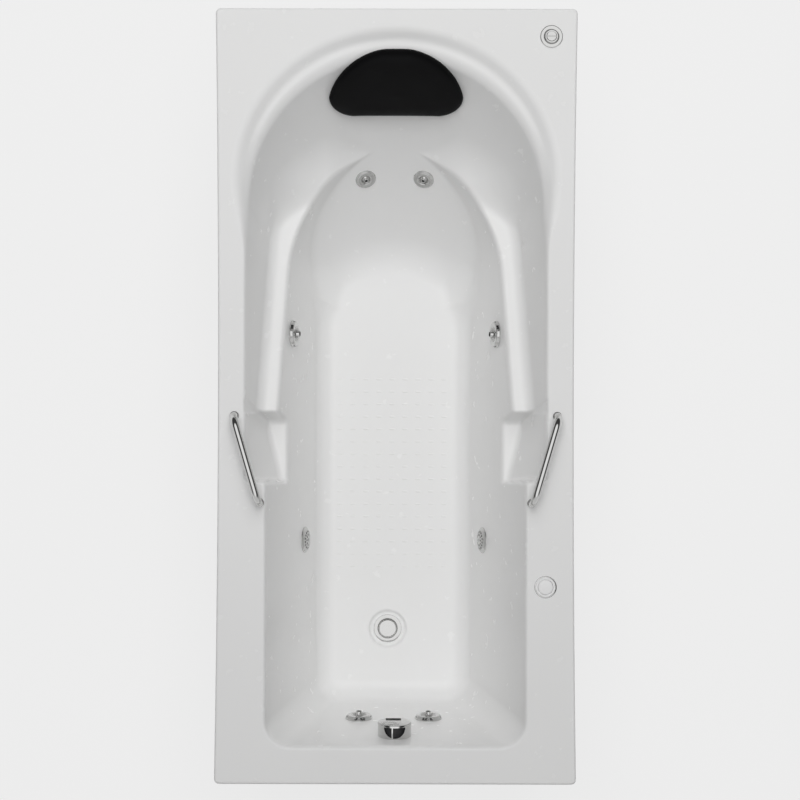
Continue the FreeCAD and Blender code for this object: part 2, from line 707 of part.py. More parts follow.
drain_ring = turned("drain_ring", [
    ("drain_throat - 3", "-shell_wall * 2"), ("drain_throat", "-shell_wall * 2"),
    ("drain_throat", "-shell_wall"), ("drain_throat + 2", "-shell_wall"), ("drain_throat + 2", 0),
    ("drain_ring_radius", 0),
    ("drain_ring_radius", 1), ("drain_ring_radius - 2", 2.6), ("drain_throat + 1", 2),
    ("drain_throat - 3", -1),
])
spider = [rod("drain_hub", "8", "4")]
for index in range(3):
    arm = block(f"drain_arm_{index}", "drain_throat - 2", "3", "4")
    arm.Placement = FreeCAD.Placement(V(0, 0, 0), FreeCAD.Rotation(V(0, 0, 1), index * 120)).multiply(
        FreeCAD.Placement(V(0, -1.5, 0), FreeCAD.Rotation()))
    spider.append(arm)
for piece in spider:
    piece.Placement.Base.z = value("-shell_wall * 2")
ring_and_spider = joined("drain_ring_and_spider", [drain_ring] + spider)
stem_bore = rod("drain_stem_bore", "3 + fit_gap", "shell_wall * 4",
                facing(V(0, 0, value("-shell_wall * 3")), V(0, 0, 1)))
node(cut("drain_flange", ring_and_spider, stem_bore), "drain_flange", drain_place)

drain_plug = turned("drain_plug", [
    (0, "-shell_wall * 4.6"), (3, "-shell_wall * 4.6"), (3, -0.925), ("plug_radius - 2.4", -0.925),
    ("plug_radius", 0.875), ("plug_radius - 0.4", 2.4), ("plug_radius - 2", 3.8), (0, 4.8),
])
node(drain_plug, "drain_plug", drain_place)

hub_low = "-shell_wall * 5"
drain_body = turned("drain_body", [
    ("drain_throat + thread_gap", "-shell_wall"), ("drain_throat + 9", "-shell_wall"),
    ("drain_throat + 9", "-shell_wall - 4"), ("drain_throat + 4", "-shell_wall - 4"),
    ("drain_throat + 4", hub_low), ("waste_radius - pipe_wall", hub_low),
    ("waste_radius - pipe_wall", "-shell_wall * 2"), ("drain_throat + thread_gap", "-shell_wall * 2"),
])
node(drain_body, "drain_body", drain_place)

node(overflow_body, "overflow_body", overflow_place)

# ------------------------------------------------------------------ pipes
def path_wire(points, bend):
    """Straight runs joined by tangent arcs of one radius."""
    edges = []
    last = points[0]
    for before, corner, after in zip(points, points[1:], points[2:]):
        back = (before - corner).normalize()
        on = (after - corner).normalize()
        half = back.getAngle(on) / 2
        reach = bend / math.tan(half)
        start = corner + back * reach
        end = corner + on * reach
        middle_way = (back + on).normalize()
        middle = corner + middle_way * (bend / math.sin(half) - bend)
        edges.append(Part.LineSegment(last, start))
        edges.append(Part.Arc(start, middle, end))
        last = end
    edges.append(Part.LineSegment(last, points[-1]))
    return closed_wire(edges)


def swept(points, radius, bend):
    path = path_wire(points, bend)
    ring = Part.Wire(Part.makeCircle(radius, points[0], points[1] - points[0]))
    return path.makePipeShell([ring], True, True)


def swept_pipe(points, radius, bend):
    """Pipe with a bore; its wall comes from the sheet."""
    return swept(points, radius, bend).cut(swept(points, radius - value("pipe_wall"), bend))


def straight_pipe(start, end, radius):
    outer = cylinder_between(start, end, radius)
    return outer.cut(cylinder_between(start, end, radius - value("pipe_wall")))


def compound(name, label, shapes):
    return node(shaped(name, Part.makeCompound(shapes)), label)


# overflow pipe runs down behind the foot wall and under the floor to the tee
waste_top = drain_place.Base.z + value(hub_low)
tee_centre = at("drain_across", "drain_along", "waste_height")
overflow_drop = at("0", "overflow_pipe_along", "waste_height")
overflow_axis = overflow_place.multVec(V(0, 0, value("overflow_pipe_along") - overflow_place.Base.y))
branch_way = (overflow_drop - tee_centre).normalize()
branch_end = tee_centre + branch_way * (value("waste_radius") + 25)
overflow_start = V(0, value("overflow_pipe_along"), overflow_axis.z)
overflow_route = [overflow_start, overflow_drop, branch_end]
overflow_tube = swept_pipe(overflow_route, value("overflow_pipe_radius"), value("overflow_bend"))
overflow_tube = overflow_tube.cut(local_rod(
    overflow_place, value("overflow_neck"), value("-pad_thick - 33"), value("-pad_thick")))
node(shaped("overflow_pipe", overflow_tube), "overflow_pipe")

tee_outer = cylinder_between(V(tee_centre.x, tee_centre.y, value("tail_top")),
                             V(tee_centre.x, tee_centre.y, waste_top), value("waste_radius + 2.5"))
tail_outer = cylinder_between(V(tee_centre.x, tee_centre.y, value("tail_bottom")),
                              V(tee_centre.x, tee_centre.y, waste_top), value("waste_radius"))
tee_inner = cylinder_between(V(tee_centre.x, tee_centre.y, value("tail_bottom")),
                             V(tee_centre.x, tee_centre.y, waste_top), value("waste_radius - pipe_wall"))
socket_outer = cylinder_between(tee_centre, branch_end, value("overflow_pipe_radius + pipe_wall"))
socket_inner = cylinder_between(tee_centre, branch_end, value("overflow_pipe_radius - pipe_wall"))
tee_body = tee_outer.fuse([tail_outer, socket_outer])
node(shaped("drain_tee", tee_body.cut([tee_inner, socket_inner])), "drain_tee")

# water feed: one run along each side, joined behind the backrest
feed_up = value("feed_height")
feed_foot = value("overflow_pipe_along")
feed_radius = value("feed_radius")
feed_bend = feed_radius * 2
feed_socket = feed_bend + 1
feed_route = [
    V(-value("foot_jet_across") + 25, feed_foot, feed_up), V(-value("feed_across"), feed_foot, feed_up),
    V(-value("feed_across"), value("feed_head"), feed_up), V(value("feed_across"), value("feed_head"), feed_up),
    V(value("feed_across"), feed_foot, feed_up), V(value("foot_jet_across") - 25, feed_foot, feed_up),
]
socket_wall = 3
straights = []
fittings = []
solid_feed = []
for index, (start, end) in enumerate(zip(feed_route, feed_route[1:])):
    way = (end - start).normalize()
    first = start if index == 0 else start + way * feed_socket
    last = end if index == len(feed_route) - 2 else end - way * feed_socket
    straights.append(straight_pipe(first, last, feed_radius))
    solid_feed.append(cylinder_between(first, last, feed_radius))
for before, corner, after in zip(feed_route, feed_route[1:], feed_route[2:]):
    back = (before - corner).normalize() * feed_socket
    on = (after - corner).normalize() * feed_socket
    fittings.append(swept_pipe([corner + back, corner, corner + on], feed_radius, feed_bend))
for start, way in ((feed_route[0], V(1, 0, 0)), (feed_route[-1], V(-1, 0, 0))):
    fittings.append(Part.makeCylinder(feed_radius + socket_wall, 5, start, way))
compound("feed_runs", "feed_pipes", straights)
compound("feed_joints", "feed_elbows_and_caps", fittings)


def branch(start, end, radius, keep_out):
    """Short straight branch whose ends are cut to the pieces that it meets."""
    return cylinder_between(start, end, radius).cut(keep_out)


def jet_body_solid(name):
    kind, place = jet_places[name]
    outer = value(f"{neck_radius(kind)} + jet_body_wall")
    bottom = value("-(pad_thick + jet_nut_thick) - jet_body_length")
    return local_rod(place, outer, bottom, value("-pad_thick"))


def feed_target(name):
    side = -1 if name.endswith("left") else 1
    if name.startswith("side"):
        return V(side * value("feed_across"), value("side_jet_along"), feed_up)
    if name.startswith("foot"):
        return V(side * value("foot_jet_across"), feed_foot, feed_up)
    return V(side * value("back_jet_across"), value("feed_head"), feed_up)


def air_target(name):
    side = -1 if name.endswith("left") else 1
    up = value("air_height")
    if name.startswith("side"):
        return V(side * value("air_main_across"), value("side_jet_along"), up)
    if name.startswith("foot"):
        return V(side * value("foot_jet_across"), value("air_main_foot"), up)
    return V(side * value("back_jet_across"), value("air_main_head"), up)


# air main: a loop round the tub that rises to the control at the head corner
air_radius = value("air_radius")
air_bend = 40
air_up = value("air_height")
air_side = value("air_main_across")
air_foot = value("air_main_foot")
air_head = value("air_main_head")
air_barb = at("air_across", "air_along", deck_top - 62)
air_route = [
    V(-value("back_jet_across") + 20, air_head, air_up), V(-air_side, air_head, air_up),
    V(-air_side, air_foot, air_up), V(air_side, air_foot, air_up),
    V(air_side, air_head + 70, air_up), V(air_barb.x, air_barb.y, air_up + 20), air_barb,
]
air_main = swept(air_route, air_radius, air_bend)
air_leg = cylinder_between(V(air_side, air_head - 80, air_up), V(air_side, air_head + 40, air_up), air_radius)
air_cross = cylinder_between(
    V(value("back_jet_across") - 20, air_head, air_up), V(air_side, air_head, air_up), air_radius)
air_cross_cut = air_cross.cut(air_leg)
compound("air_runs", "air_main", [air_main, air_cross_cut])

feed_branches = []
air_branches = []
for name in jet_places:
    start = jet_axis_point(name, value("pad_thick + jet_nut_thick + jet_body_length * 0.58"))
    keep_out = [jet_body_solid(name)] + solid_feed
    feed_branches.append(branch(start, feed_target(name), value("branch_radius"), keep_out))
    rear = jet_axis_point(name, value("pad_thick + jet_nut_thick + jet_body_length * 0.18"))
    keep_out = [jet_body_solid(name), air_main, air_cross]
    air_branches.append(branch(rear, air_target(name), value("air_radius - 2"), keep_out))
compound("water_branches", "jet_water_branches", feed_branches)
compound("air_hoses", "jet_air_branches", air_branches)

# suction: one run from each cover, joined behind the backrest, then up to the pump
suction_radius = value("suction_radius")
suction_up = value("suction_height")
suction_side = value("suction_across")
suction_start = value("suction_along") - 30
pump_axis = at("volute_across", "pump_along", "pump_height")
inlet_face = pump_axis.x - value("volute_width / 2") - 22
cross_along = value("suction_cross")
riser_from = V(-suction_side, value("pump_along") - 60, suction_up)
riser_route = [
    riser_from, V(-suction_side, pump_axis.y, suction_up), V(-suction_side, pump_axis.y, pump_axis.z),
    V(inlet_face, pump_axis.y, pump_axis.z),
]
suction_left = straight_pipe(V(-suction_side, suction_start, suction_up), riser_from, suction_radius)
right_end = V(suction_side, cross_along - 2 * suction_radius, suction_up)
suction_right = straight_pipe(V(suction_side, suction_start, suction_up), right_end, suction_radius)
right_corner = V(suction_side, cross_along, suction_up)
cross_start = V(suction_side - 2 * suction_radius, cross_along, suction_up)
suction_left_solid = cylinder_between(V(-suction_side, suction_start, suction_up), riser_from, suction_radius)
suction_cross = straight_pipe(cross_start, V(-suction_side, cross_along, suction_up), suction_radius)
suction_cross = suction_cross.cut(suction_left_solid)
compound("suction_runs", "suction_pipes", [suction_left, suction_right, suction_cross])
riser = swept_pipe(riser_route, suction_radius, 26)
right_elbow = swept_pipe([right_end, right_corner, cross_start], suction_radius, 2 * suction_radius - 1)
end_caps = [
    Part.makeCylinder(suction_radius + socket_wall, 5, V(side * suction_side, suction_start, suction_up), V(0, -1, 0))
    for side in (-1, 1)
]
compound("suction_joints", "suction_elbows_and_caps", [riser, right_elbow] + end_caps)

suction_branches = []
for side, name in ((-1, "left"), (1, "right")):
    place = suction_places[name]
    bottom = value("-pad_thick - suction_body_length")
    start = place.multVec(V(0, 0, bottom / 2 - 8))
    end = V(side * suction_side, value("suction_along"), suction_up)
    keep_out = [
        local_rod(place, value("suction_neck + 3"), bottom, 0),
        local_rod(place, value("suction_neck + 7"), value("-pad_thick") - 8, value("-pad_thick")),
        cylinder_between(V(end.x, suction_start, suction_up), V(end.x, 0, suction_up), suction_radius),
    ]
    suction_branches.append(branch(start, end, suction_radius - 4, keep_out))
compound("suction_drops", "suction_branches", suction_branches)

# ------------------------------------------------------------------ grab handles
handle_nuts = []
for side, label in ((-1, "left"), (1, "right")):
    ends = handle_ends[side]
    rise = V(0, 0, value("handle_rise"))
    route = [ends[0], ends[0] + rise, ends[1] + rise, ends[1]]
    handle = swept(route, value("handle_radius"), value("handle_bend"))
    pieces = []
    for end in ends:
        pieces.append(Part.makeCylinder(value("handle_flange"), 3.5, end))
        stud_end = value("shell_wall") + 14
        pieces.append(Part.makeCylinder(value("handle_stud"), stud_end + 2, end - V(0, 0, stud_end)))
        under = end - V(0, 0, value("shell_wall"))
        washer = Part.makeCylinder(value("handle_stud + 2.5"), 1.5, under - V(0, 0, 1.5))
        nut_face = under - V(0, 0, 8)
        nut = Part.makeCylinder(value("handle_stud + 2.2"), 6.5, nut_face)
        bore = Part.makeCylinder(value("handle_stud + thread_gap"), 12, under - V(0, 0, 10))
        handle_nuts.append(nut.fuse(washer).cut(bore))
    node(shaped(f"handle_{label}", handle.fuse(pieces).removeSplitter()), f"grab_handle_{label}")
compound("handle_nuts_set", "handle_nuts", handle_nuts)

# ------------------------------------------------------------------ deck controls
air_hole = "air_ring_radius - deck_hole_inset"
air_body = turned("air_control_body", [
    (3.5, -62), (6, -62), (6, -40), (f"{air_hole} - fit_gap", -40), (f"{air_hole} - fit_gap", 0),
    ("air_ring_radius", 0), ("air_ring_radius", 1.6), ("air_ring_radius - 1.2", 3),
    ("air_knob_radius + fit_gap", 3), ("air_knob_radius + fit_gap", 1), (4.05, 1), (4.05, -3),
    (14, -3), (14, -37), (3.5, -37),
])
node(air_body, "air_control_body", deck_places["air"])
air_knob = turned("air_knob_turned", [
    (0, -22), (4, -22), (4, 1.3), ("air_knob_radius", 1.3), ("air_knob_radius", 4.4),
    ("air_knob_radius - 1", 5), ("air_knob_radius - 3", 5), ("air_knob_radius - 4", 4.2), (0, 4.2),
])
knob_grip = block("air_knob_grip", "air_knob_radius * 1.5", "2.4", "2",
                  FreeCAD.Placement(V(-value("air_knob_radius") * 0.75, -1.2, 3.6), FreeCAD.Rotation()))
node(joined("air_knob_whole", [air_knob, knob_grip]), "air_control_knob", deck_places["air"])

button_hole = "button_ring_radius - deck_hole_inset"
button_body = turned("start_button_body", [
    (0, -36), (2.5, -36), (2.5, -48), (4, -48), (4, -36), (f"{button_hole} - fit_gap", -36),
    (f"{button_hole} - fit_gap", 0), ("button_ring_radius", 0), ("button_ring_radius", 1.2),
    ("button_ring_radius - 1.2", 2.4), ("button_radius + fit_gap", 2.4),
    ("button_radius + fit_gap", -33), (0, -33),
])
node(button_body, "start_button_body", deck_places["button"])
button_cap = turned("start_button_cap", [
    (0, 0.6), ("button_radius - 1", 1), ("button_radius", 0), ("button_radius", -12),
    ("button_radius - 2.5", -12), ("button_radius - 2.5", -2), (0, -2),
])
node(button_cap, "start_button", deck_places["button"])
bellows_corners = [(0, -33), ("button_radius - 4", -33)]
for fold in range(4):
    low = -33 + fold * 7.6
    bellows_corners.append(("button_radius - 3.4", low + 1.9))
    bellows_corners.append(("button_radius - 6.5", low + 5.7))
bellows_corners += [("button_radius - 6.5", -2.3), (0, -2.3)]
node(turned("start_button_bellows", bellows_corners), "start_button_bellows", deck_places["button"])

deck_nuts = []
for name, hole in (("air", air_hole), ("button", button_hole)):
    blank = hexagon(f"{name}_nut_blank", f"{hole} + 4.2", "7")
    bore = rod(f"{name}_nut_bore", f"{hole} - fit_gap + thread_gap", "7")
    nut = cut(f"{name}_nut", blank, bore)
    nut.Placement = facing(deck_places[name].Base - V(0, 0, value("shell_wall") + 7), V(0, 0, 1))
    deck_nuts.append(nut)
node(group("deck_nuts", deck_nuts), "deck_control_nuts")

# ------------------------------------------------------------------ pillow
def pillow_outline(inset, level):
    """Round-shouldered outline: flat top, widest near the bottom."""
    half = value("pillow_width / 2") - inset
    high = value("pillow_height") - inset
    top = value("pillow_width") * 0.14 - inset * 0.4
    low = inset
    shoulder = (half * 0.80, value("pillow_height") * 0.62)
    widest = (half, value("pillow_height") * 0.27)
    corner = (half * 0.93, value("pillow_height") * 0.06 + inset * 0.8)
    foot = half * 0.66

    def mirrored(point):
        return V(-point[0], point[1], level)
    right = [V(*widest, level), V(*shoulder, level), V(top, high, level)]
    bottom = [V(foot, low, level), V(*corner, level), V(*widest, level)]
    return closed_wire([
        Part.Arc(*right),
        Part.LineSegment(V(top, high, level), V(-top, high, level)),
        Part.Arc(V(-top, high, level), mirrored(shoulder), mirrored(widest)),
        Part.Arc(mirrored(widest), mirrored(corner), V(-foot, low, level)),
        Part.LineSegment(V(-foot, low, level), V(foot, low, level)),
        Part.Arc(*bottom),
    ])


def pillow_shape():
    """Crowned cushion whose back is cut to the backrest."""
    thick = value("pillow_thick")
    crown = value("pillow_crown")
    levels = [(-40, 10), (thick * 0.35, 0), (thick * 0.75, crown * 0.6), (thick, crown * 2.4)]
    cushion = Part.makeLoft([pillow_outline(inset, level) for level, inset in levels], True, False)
    seat = back_place(0, value("pillow_depth"))
    drop = FreeCAD.Placement(V(0, -value("pillow_height / 2"), 0), FreeCAD.Rotation())
    cushion.Placement = seat.multiply(drop)
    cushion = cushion.common(bowl(-value("pillow_gap")))
    recesses = [local_rod(place, value("cup_radius") + 1.5, -5, 8.3) for place in cup_places]
    return cushion.cut(recesses)


cup_places = [back_place(side * value("pillow_width") * 0.25, value("pillow_depth")) for side in (-1, 1)]
node(shaped("pillow_cushion", pillow_shape()), "head_pillow")
cups = []
for index, place in enumerate(cup_places):
    cup = turned(f"pillow_cup_{index}", [
        (0, 0.9), ("cup_radius", 0.9), ("cup_radius - 1", 2), (6, 4), (6, 8), (0, 8),
    ])
    cup.Placement = place
    cups.append(cup)
node(group("pillow_cups", cups), "pillow_suction_cups")

# ------------------------------------------------------------------ board, battens, frame, feet
frame_top = "tub_height - basin_depth - shell_wall - board_thick"
frame_bottom = f"{frame_top} - tube_size"
board = plate("board_blank", [
    ("-board_half_width", "board_foot"), ("board_half_width", "board_foot"),
    ("board_half_width", "board_head"), ("-board_half_width", "board_head"),
], "board_thick")
board.setExpression("Placement.Base.z", bound(frame_top))
board_hole = rod("board_hole", "dish_radius + pad_margin", "board_thick * 3")
board_hole.Placement.Base = at("drain_across", "drain_along", f"{frame_top} - board_thick")
node(cut("board", board, board_hole), "floor_board")

batten_low = "tub_height - shell_wall - batten_thick"
batten_runs = (("-rail_foot", "handle_head_along - 32"), ("handle_head_along + 28", "crescent_centre - 103"),
               ("crescent_centre + 102", "rail_foot + 20"))
battens = []
for side in (-1, 1):
    for index, (start, end) in enumerate(batten_runs):
        strip = block(f"batten_{side + 1}_{index}", "batten_width", f"({end}) - ({start})", "batten_thick")
        strip.Placement.Base = at(f"{side} * post_across - batten_width / 2", start, batten_low)
        battens.append(strip)
node(group("batten_set", battens), "rim_battens")


def square_tube(name, corner, length, axis):
    """Open ended square tube that runs along one axis: 0 across, 1 along, 2 up."""
    sides = ["tube_size"] * 3
    sides[axis] = length
    hollow = ["tube_size - 2 * tube_wall"] * 3
    hollow[axis] = f"({length}) + 2 * tube_wall"
    hollow_corner = [f"{place} + tube_wall" for place in corner]
    hollow_corner[axis] = f"{corner[axis]} - tube_wall"
    outer = block(f"{name}_outer", *sides)
    outer.Placement.Base = at(*corner)
    inner = block(f"{name}_inner", *hollow)
    inner.Placement.Base = at(*hollow_corner)
    return cut(name, outer, inner)


# the members meet face to face at the welds
half_tube = "tube_size / 2"
members = []
for side in (-1, 1):
    rail_corner = (f"{side} * rail_across - {half_tube}", "-rail_foot", frame_bottom)
    members.append(square_tube(f"rail_{side + 1}", rail_corner, "rail_foot + rail_reach", 1))
outer_length = "post_across - rail_across"
cross_parts = (
    ("left", f"-post_across - {half_tube}", outer_length),
    ("middle", f"-rail_across + {half_tube}", "2 * rail_across - tube_size"),
    ("right", f"rail_across + {half_tube}", outer_length),
)
foot_places = []
for row in (-1, 0, 1):
    for part_name, cross_start, length in cross_parts:
        corner = (cross_start, f"{row} * post_spread - {half_tube}", frame_bottom)
        member = square_tube(f"cross_{part_name}_{row + 1}", corner, length, 0)
        if part_name != "middle":
            side = -1 if part_name == "left" else 1
            foot_place = at(f"{side} * post_across", f"{row} * post_spread", "0")
            foot_places.append(foot_place)
            hole = rod(f"stem_hole_{part_name}_{row + 1}", "foot_stem + fit_gap", "tube_wall * 3")
            hole.Placement.Base = foot_place + at("0", "0", f"{frame_bottom} - tube_wall")
            member = cut(f"cross_bored_{part_name}_{row + 1}", member, hole)
        members.append(member)
for index, foot_place in enumerate(foot_places):
    post = square_tube(f"post_{index}", (
        f"({foot_place.x}) - {half_tube}", f"({foot_place.y}) - {half_tube}", frame_top),
        f"{batten_low} - ({frame_top})", 2)
    members.append(post)
node(group("frame_members", members), "base_frame")

feet = []
foot_nuts = []
for index, foot_place in enumerate(foot_places):
    foot = turned(f"foot_{index}", [
        (0, 0), ("foot_pad_radius", 0), ("foot_pad_radius", "foot_pad_thick * 0.5"),
        ("foot_stem + 5", "foot_pad_thick + 3"), ("foot_stem", "foot_pad_thick + 3"),
        ("foot_stem", f"{frame_bottom} + foot_thread_up"), (0, f"{frame_bottom} + foot_thread_up"),
    ])
    foot.Placement.Base = foot_place
    feet.append(foot)
    for level, drop in enumerate((f"{frame_bottom} - 10", f"{frame_bottom} + tube_wall")):
        blank = hexagon(f"foot_nut_{index}_{level}", "foot_stem + 5", "10" if level == 0 else "8")
        bore = rod(f"foot_nut_bore_{index}_{level}", "foot_stem + thread_gap", "10")
        nut = cut(f"foot_nut_cut_{index}_{level}", blank, bore)
        nut.Placement.Base = foot_place + at("0", "0", drop)
        foot_nuts.append(nut)
node(group("feet_set", feet), "levelling_feet")
node(group("foot_nut_set", foot_nuts), "foot_nuts")

# ------------------------------------------------------------------ pump
# its axis lies across the tub; local Z of the turned pieces points at the motor
pump_place = facing(pump_axis, V(1, 0, 0), V(0, 1, 0))
half_wide = "volute_width / 2"
volute_shell = turned("volute_shell", [
    (0, f"-{half_wide} - 22"), ("suction_radius + 5", f"-{half_wide} - 22"),
    ("suction_radius + 5", f"-{half_wide} - 12"), ("suction_radius", f"-{half_wide} - 12"),
    ("suction_radius", f"-{half_wide}"), ("volute_radius - 9", f"-{half_wide}"),
    ("volute_radius", f"-{half_wide} + 9"), ("volute_radius", half_wide), (0, half_wide),
])
volute_shell.Placement = pump_place
volute_hollow = turned("volute_hollow", [
    (0, f"-{half_wide} - 23"), ("suction_radius - volute_wall", f"-{half_wide} - 23"),
    ("suction_radius - volute_wall", f"-{half_wide} + volute_wall"),
    ("volute_radius - 11", f"-{half_wide} + volute_wall"),
    ("volute_radius - volute_wall", f"-{half_wide} + 11"),
    ("volute_radius - volute_wall", f"{half_wide} + 1"), (0, f"{half_wide} + 1"),
])
volute_hollow.Placement = pump_place
outlet_from = V(pump_axis.x, pump_axis.y, feed_up)
outlet_to = V(pump_axis.x, value("feed_head"), feed_up)
outlet_outer = shaped("outlet_outer", branch(outlet_from, outlet_to, value("feed_radius - 1"), solid_feed))
outlet_inner = shaped("outlet_inner", cylinder_between(outlet_from, outlet_to, value("feed_radius - 1 - pipe_wall")))
volute_whole = joined("volute_whole", [volute_shell, outlet_outer])
volute_room = joined("volute_room", [volute_hollow, outlet_inner])
node(cut("volute", volute_whole, volute_room), "pump_volute")

cover_thick = "9"
pump_cover = turned("pump_cover_turned", [
    ("shaft_radius + 5", half_wide), ("volute_radius + 4", half_wide),
    ("volute_radius + 4", f"{half_wide} + {cover_thick}"), ("shaft_radius + 5", f"{half_wide} + {cover_thick}"),
])
node(pump_cover, "pump_cover", pump_place)
seal = turned("shaft_seal_turned", [
    ("shaft_radius + 0.05", f"{half_wide} + 1"), ("shaft_radius + 5", f"{half_wide} + 1"),
    ("shaft_radius + 5", f"{half_wide} + {cover_thick}"), ("shaft_radius + 0.05", f"{half_wide} + {cover_thick}"),
])
node(seal, "shaft_seal", pump_place)

shaft_end = f"{half_wide} + {cover_thick} + 60"
wheel = turned("impeller_disc", [
    (0, f"{half_wide} - 32"), (14, f"{half_wide} - 32"), (14, f"{half_wide} - 8"),
    ("impeller_radius", f"{half_wide} - 8"), ("impeller_radius", f"{half_wide} - 4"),
    ("shaft_radius", f"{half_wide} - 4"), ("shaft_radius", shaft_end), (0, shaft_end),
])
vanes = []
for index in range(6):
    turn = FreeCAD.Placement(V(0, 0, 0), FreeCAD.Rotation(V(0, 0, 1), index * 60))
    lean = FreeCAD.Placement(V(10, -2, value(f"{half_wide} - 24")), FreeCAD.Rotation(V(0, 0, 1), 22))
    vane = block(f"vane_{index}", "impeller_radius - 14", "3", "17", turn.multiply(lean))
    vanes.append(vane)
node(joined("impeller", [wheel] + vanes), "pump_impeller", pump_place)

motor_start = f"{half_wide} + {cover_thick}"
motor_core = turned("motor_core", [
    ("shaft_radius + 0.3", motor_start), ("motor_radius", motor_start),
    ("motor_radius", f"{motor_start} + 14"), ("motor_radius - 5", f"{motor_start} + 14"),
    ("motor_radius - 5", f"{motor_start} + motor_length - 10"),
    ("motor_radius", f"{motor_start} + motor_length - 10"),
    ("motor_radius", f"{motor_start} + motor_length"), (0, f"{motor_start} + motor_length"),
    (0, f"{shaft_end} + 1"), ("shaft_radius + 0.3", f"{shaft_end} + 1"),
])
fins = []
for index in range(24):
    turn = FreeCAD.Placement(V(0, 0, 0), FreeCAD.Rotation(V(0, 0, 1), index * 15))
    stand = FreeCAD.Placement(V(value("motor_radius - 6"), -1, value(f"{motor_start} + 13")), FreeCAD.Rotation())
    fins.append(block(f"fin_{index}", "5", "2", "motor_length - 22", turn.multiply(stand)))
node(joined("motor", [motor_core] + fins), "pump_motor", pump_place)

fan_start = f"{motor_start} + motor_length"
fan_cover = turned("fan_cover_turned", [
    ("motor_radius - 2", fan_start), ("motor_radius", fan_start), ("motor_radius", f"{fan_start} + 26"),
    ("motor_radius - 10", f"{fan_start} + 36"), (12, f"{fan_start} + 36"), (12, f"{fan_start} + 34"),
    ("motor_radius - 11", f"{fan_start} + 34"), ("motor_radius - 2", f"{fan_start} + 25"),
])
node(fan_cover, "motor_fan_cover", pump_place)

box_corner = at("volute_across + volute_width / 2 + 85", "pump_along - 32", "pump_height + motor_radius - 12")
box = block("box_blank", "90", "64", "44")
box.Placement.Base = box_corner
motor_room = rod("box_seat", "motor_radius + fit_gap", "motor_length * 2", pump_place)
box_barb = rod("box_barb", "signal_radius + 1.5", "12")
box_barb.Placement.Base = box_corner + V(30, 32, 43)
box_gland = rod("box_gland", "8", "14", facing(box_corner + V(89, 32, 24), V(1, 0, 0)))
gland_bore = rod("gland_bore", "4", "20", facing(box_corner + V(86, 32, 24), V(1, 0, 0)))
box_whole = joined("box_whole", [box, box_barb, box_gland])
node(cut("terminal_box", cut("box_seated", box_whole, motor_room), gland_bore), "motor_terminal_box")

bracket_width = value("bracket_width")
base_low = value(frame_top)
bracket_base = block("bracket_base", "rail_across * 2 + tube_size", "bracket_width", "6")
bracket_base.Placement.Base = at("-rail_across - tube_size / 2", "pump_along - 85", frame_top)
saddles = []
for index, place in enumerate((40, 120)):
    saddle = block(f"saddle_{index}", "18", "bracket_width - 50", f"pump_height - 30 - ({frame_top})")
    saddle.Placement.Base = V(value("volute_across + volute_width / 2") + place,
                              value("pump_along - (bracket_width - 50) / 2"), base_low)
    saddles.append(saddle)
bracket_whole = joined("bracket_whole", [bracket_base] + saddles)
bracket_seat = rod("bracket_seat", "motor_radius - 1", "motor_length * 2", pump_place)
node(cut("bracket", bracket_whole, bracket_seat), "pump_bracket")

# air signal tube from the start button to the switch in the terminal box
tube_start = deck_places["button"].Base - V(0, 0, 48)
tube_up = value("signal_height")
tube_end = box_corner + V(30, 32, 55)
signal_route = [
    tube_start, V(tube_start.x, tube_start.y, tube_up), V(tube_start.x, tube_end.y, tube_up),
    V(tube_end.x, tube_end.y, tube_up), tube_end,
]
node(shaped("signal_tube", swept(signal_route, value("signal_radius"), 30)), "air_signal_tube")

# ------------------------------------------------------------------ check and write
doc.recompute()
for item in doc.Objects:
    if "Invalid" in item.State or "Error" in item.State:
        raise RuntimeError(f"{item.Label} did not build: {item.State}")
for piece in nodes:
    if piece.Shape.isNull() or not piece.Shape.isValid():
        raise RuntimeError(f"{piece.Label} has no valid shape")
for piece in nodes:
    piece.Shape.exportStep(f"parts/{piece.Label}.step")
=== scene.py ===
import bpy
import json
import math
import numpy as np
from mathutils import Matrix, Vector


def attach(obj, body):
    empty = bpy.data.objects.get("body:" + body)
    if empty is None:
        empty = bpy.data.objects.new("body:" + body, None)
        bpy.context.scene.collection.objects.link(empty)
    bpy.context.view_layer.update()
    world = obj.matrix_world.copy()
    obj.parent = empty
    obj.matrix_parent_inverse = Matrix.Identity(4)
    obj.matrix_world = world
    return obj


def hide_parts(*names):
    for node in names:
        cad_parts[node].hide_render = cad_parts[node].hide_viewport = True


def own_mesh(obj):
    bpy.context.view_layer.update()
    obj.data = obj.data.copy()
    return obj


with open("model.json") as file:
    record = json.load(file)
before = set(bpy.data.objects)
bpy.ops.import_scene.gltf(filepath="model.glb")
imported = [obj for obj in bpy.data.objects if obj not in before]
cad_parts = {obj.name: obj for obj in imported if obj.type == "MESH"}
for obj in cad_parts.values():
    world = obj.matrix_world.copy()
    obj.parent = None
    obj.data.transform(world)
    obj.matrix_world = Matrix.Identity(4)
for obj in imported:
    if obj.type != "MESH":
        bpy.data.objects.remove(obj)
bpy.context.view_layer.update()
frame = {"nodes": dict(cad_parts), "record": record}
nodes = frame["nodes"]
scene = bpy.context.scene
mm = 0.001
print("frame loaded:", len(nodes), "nodes")

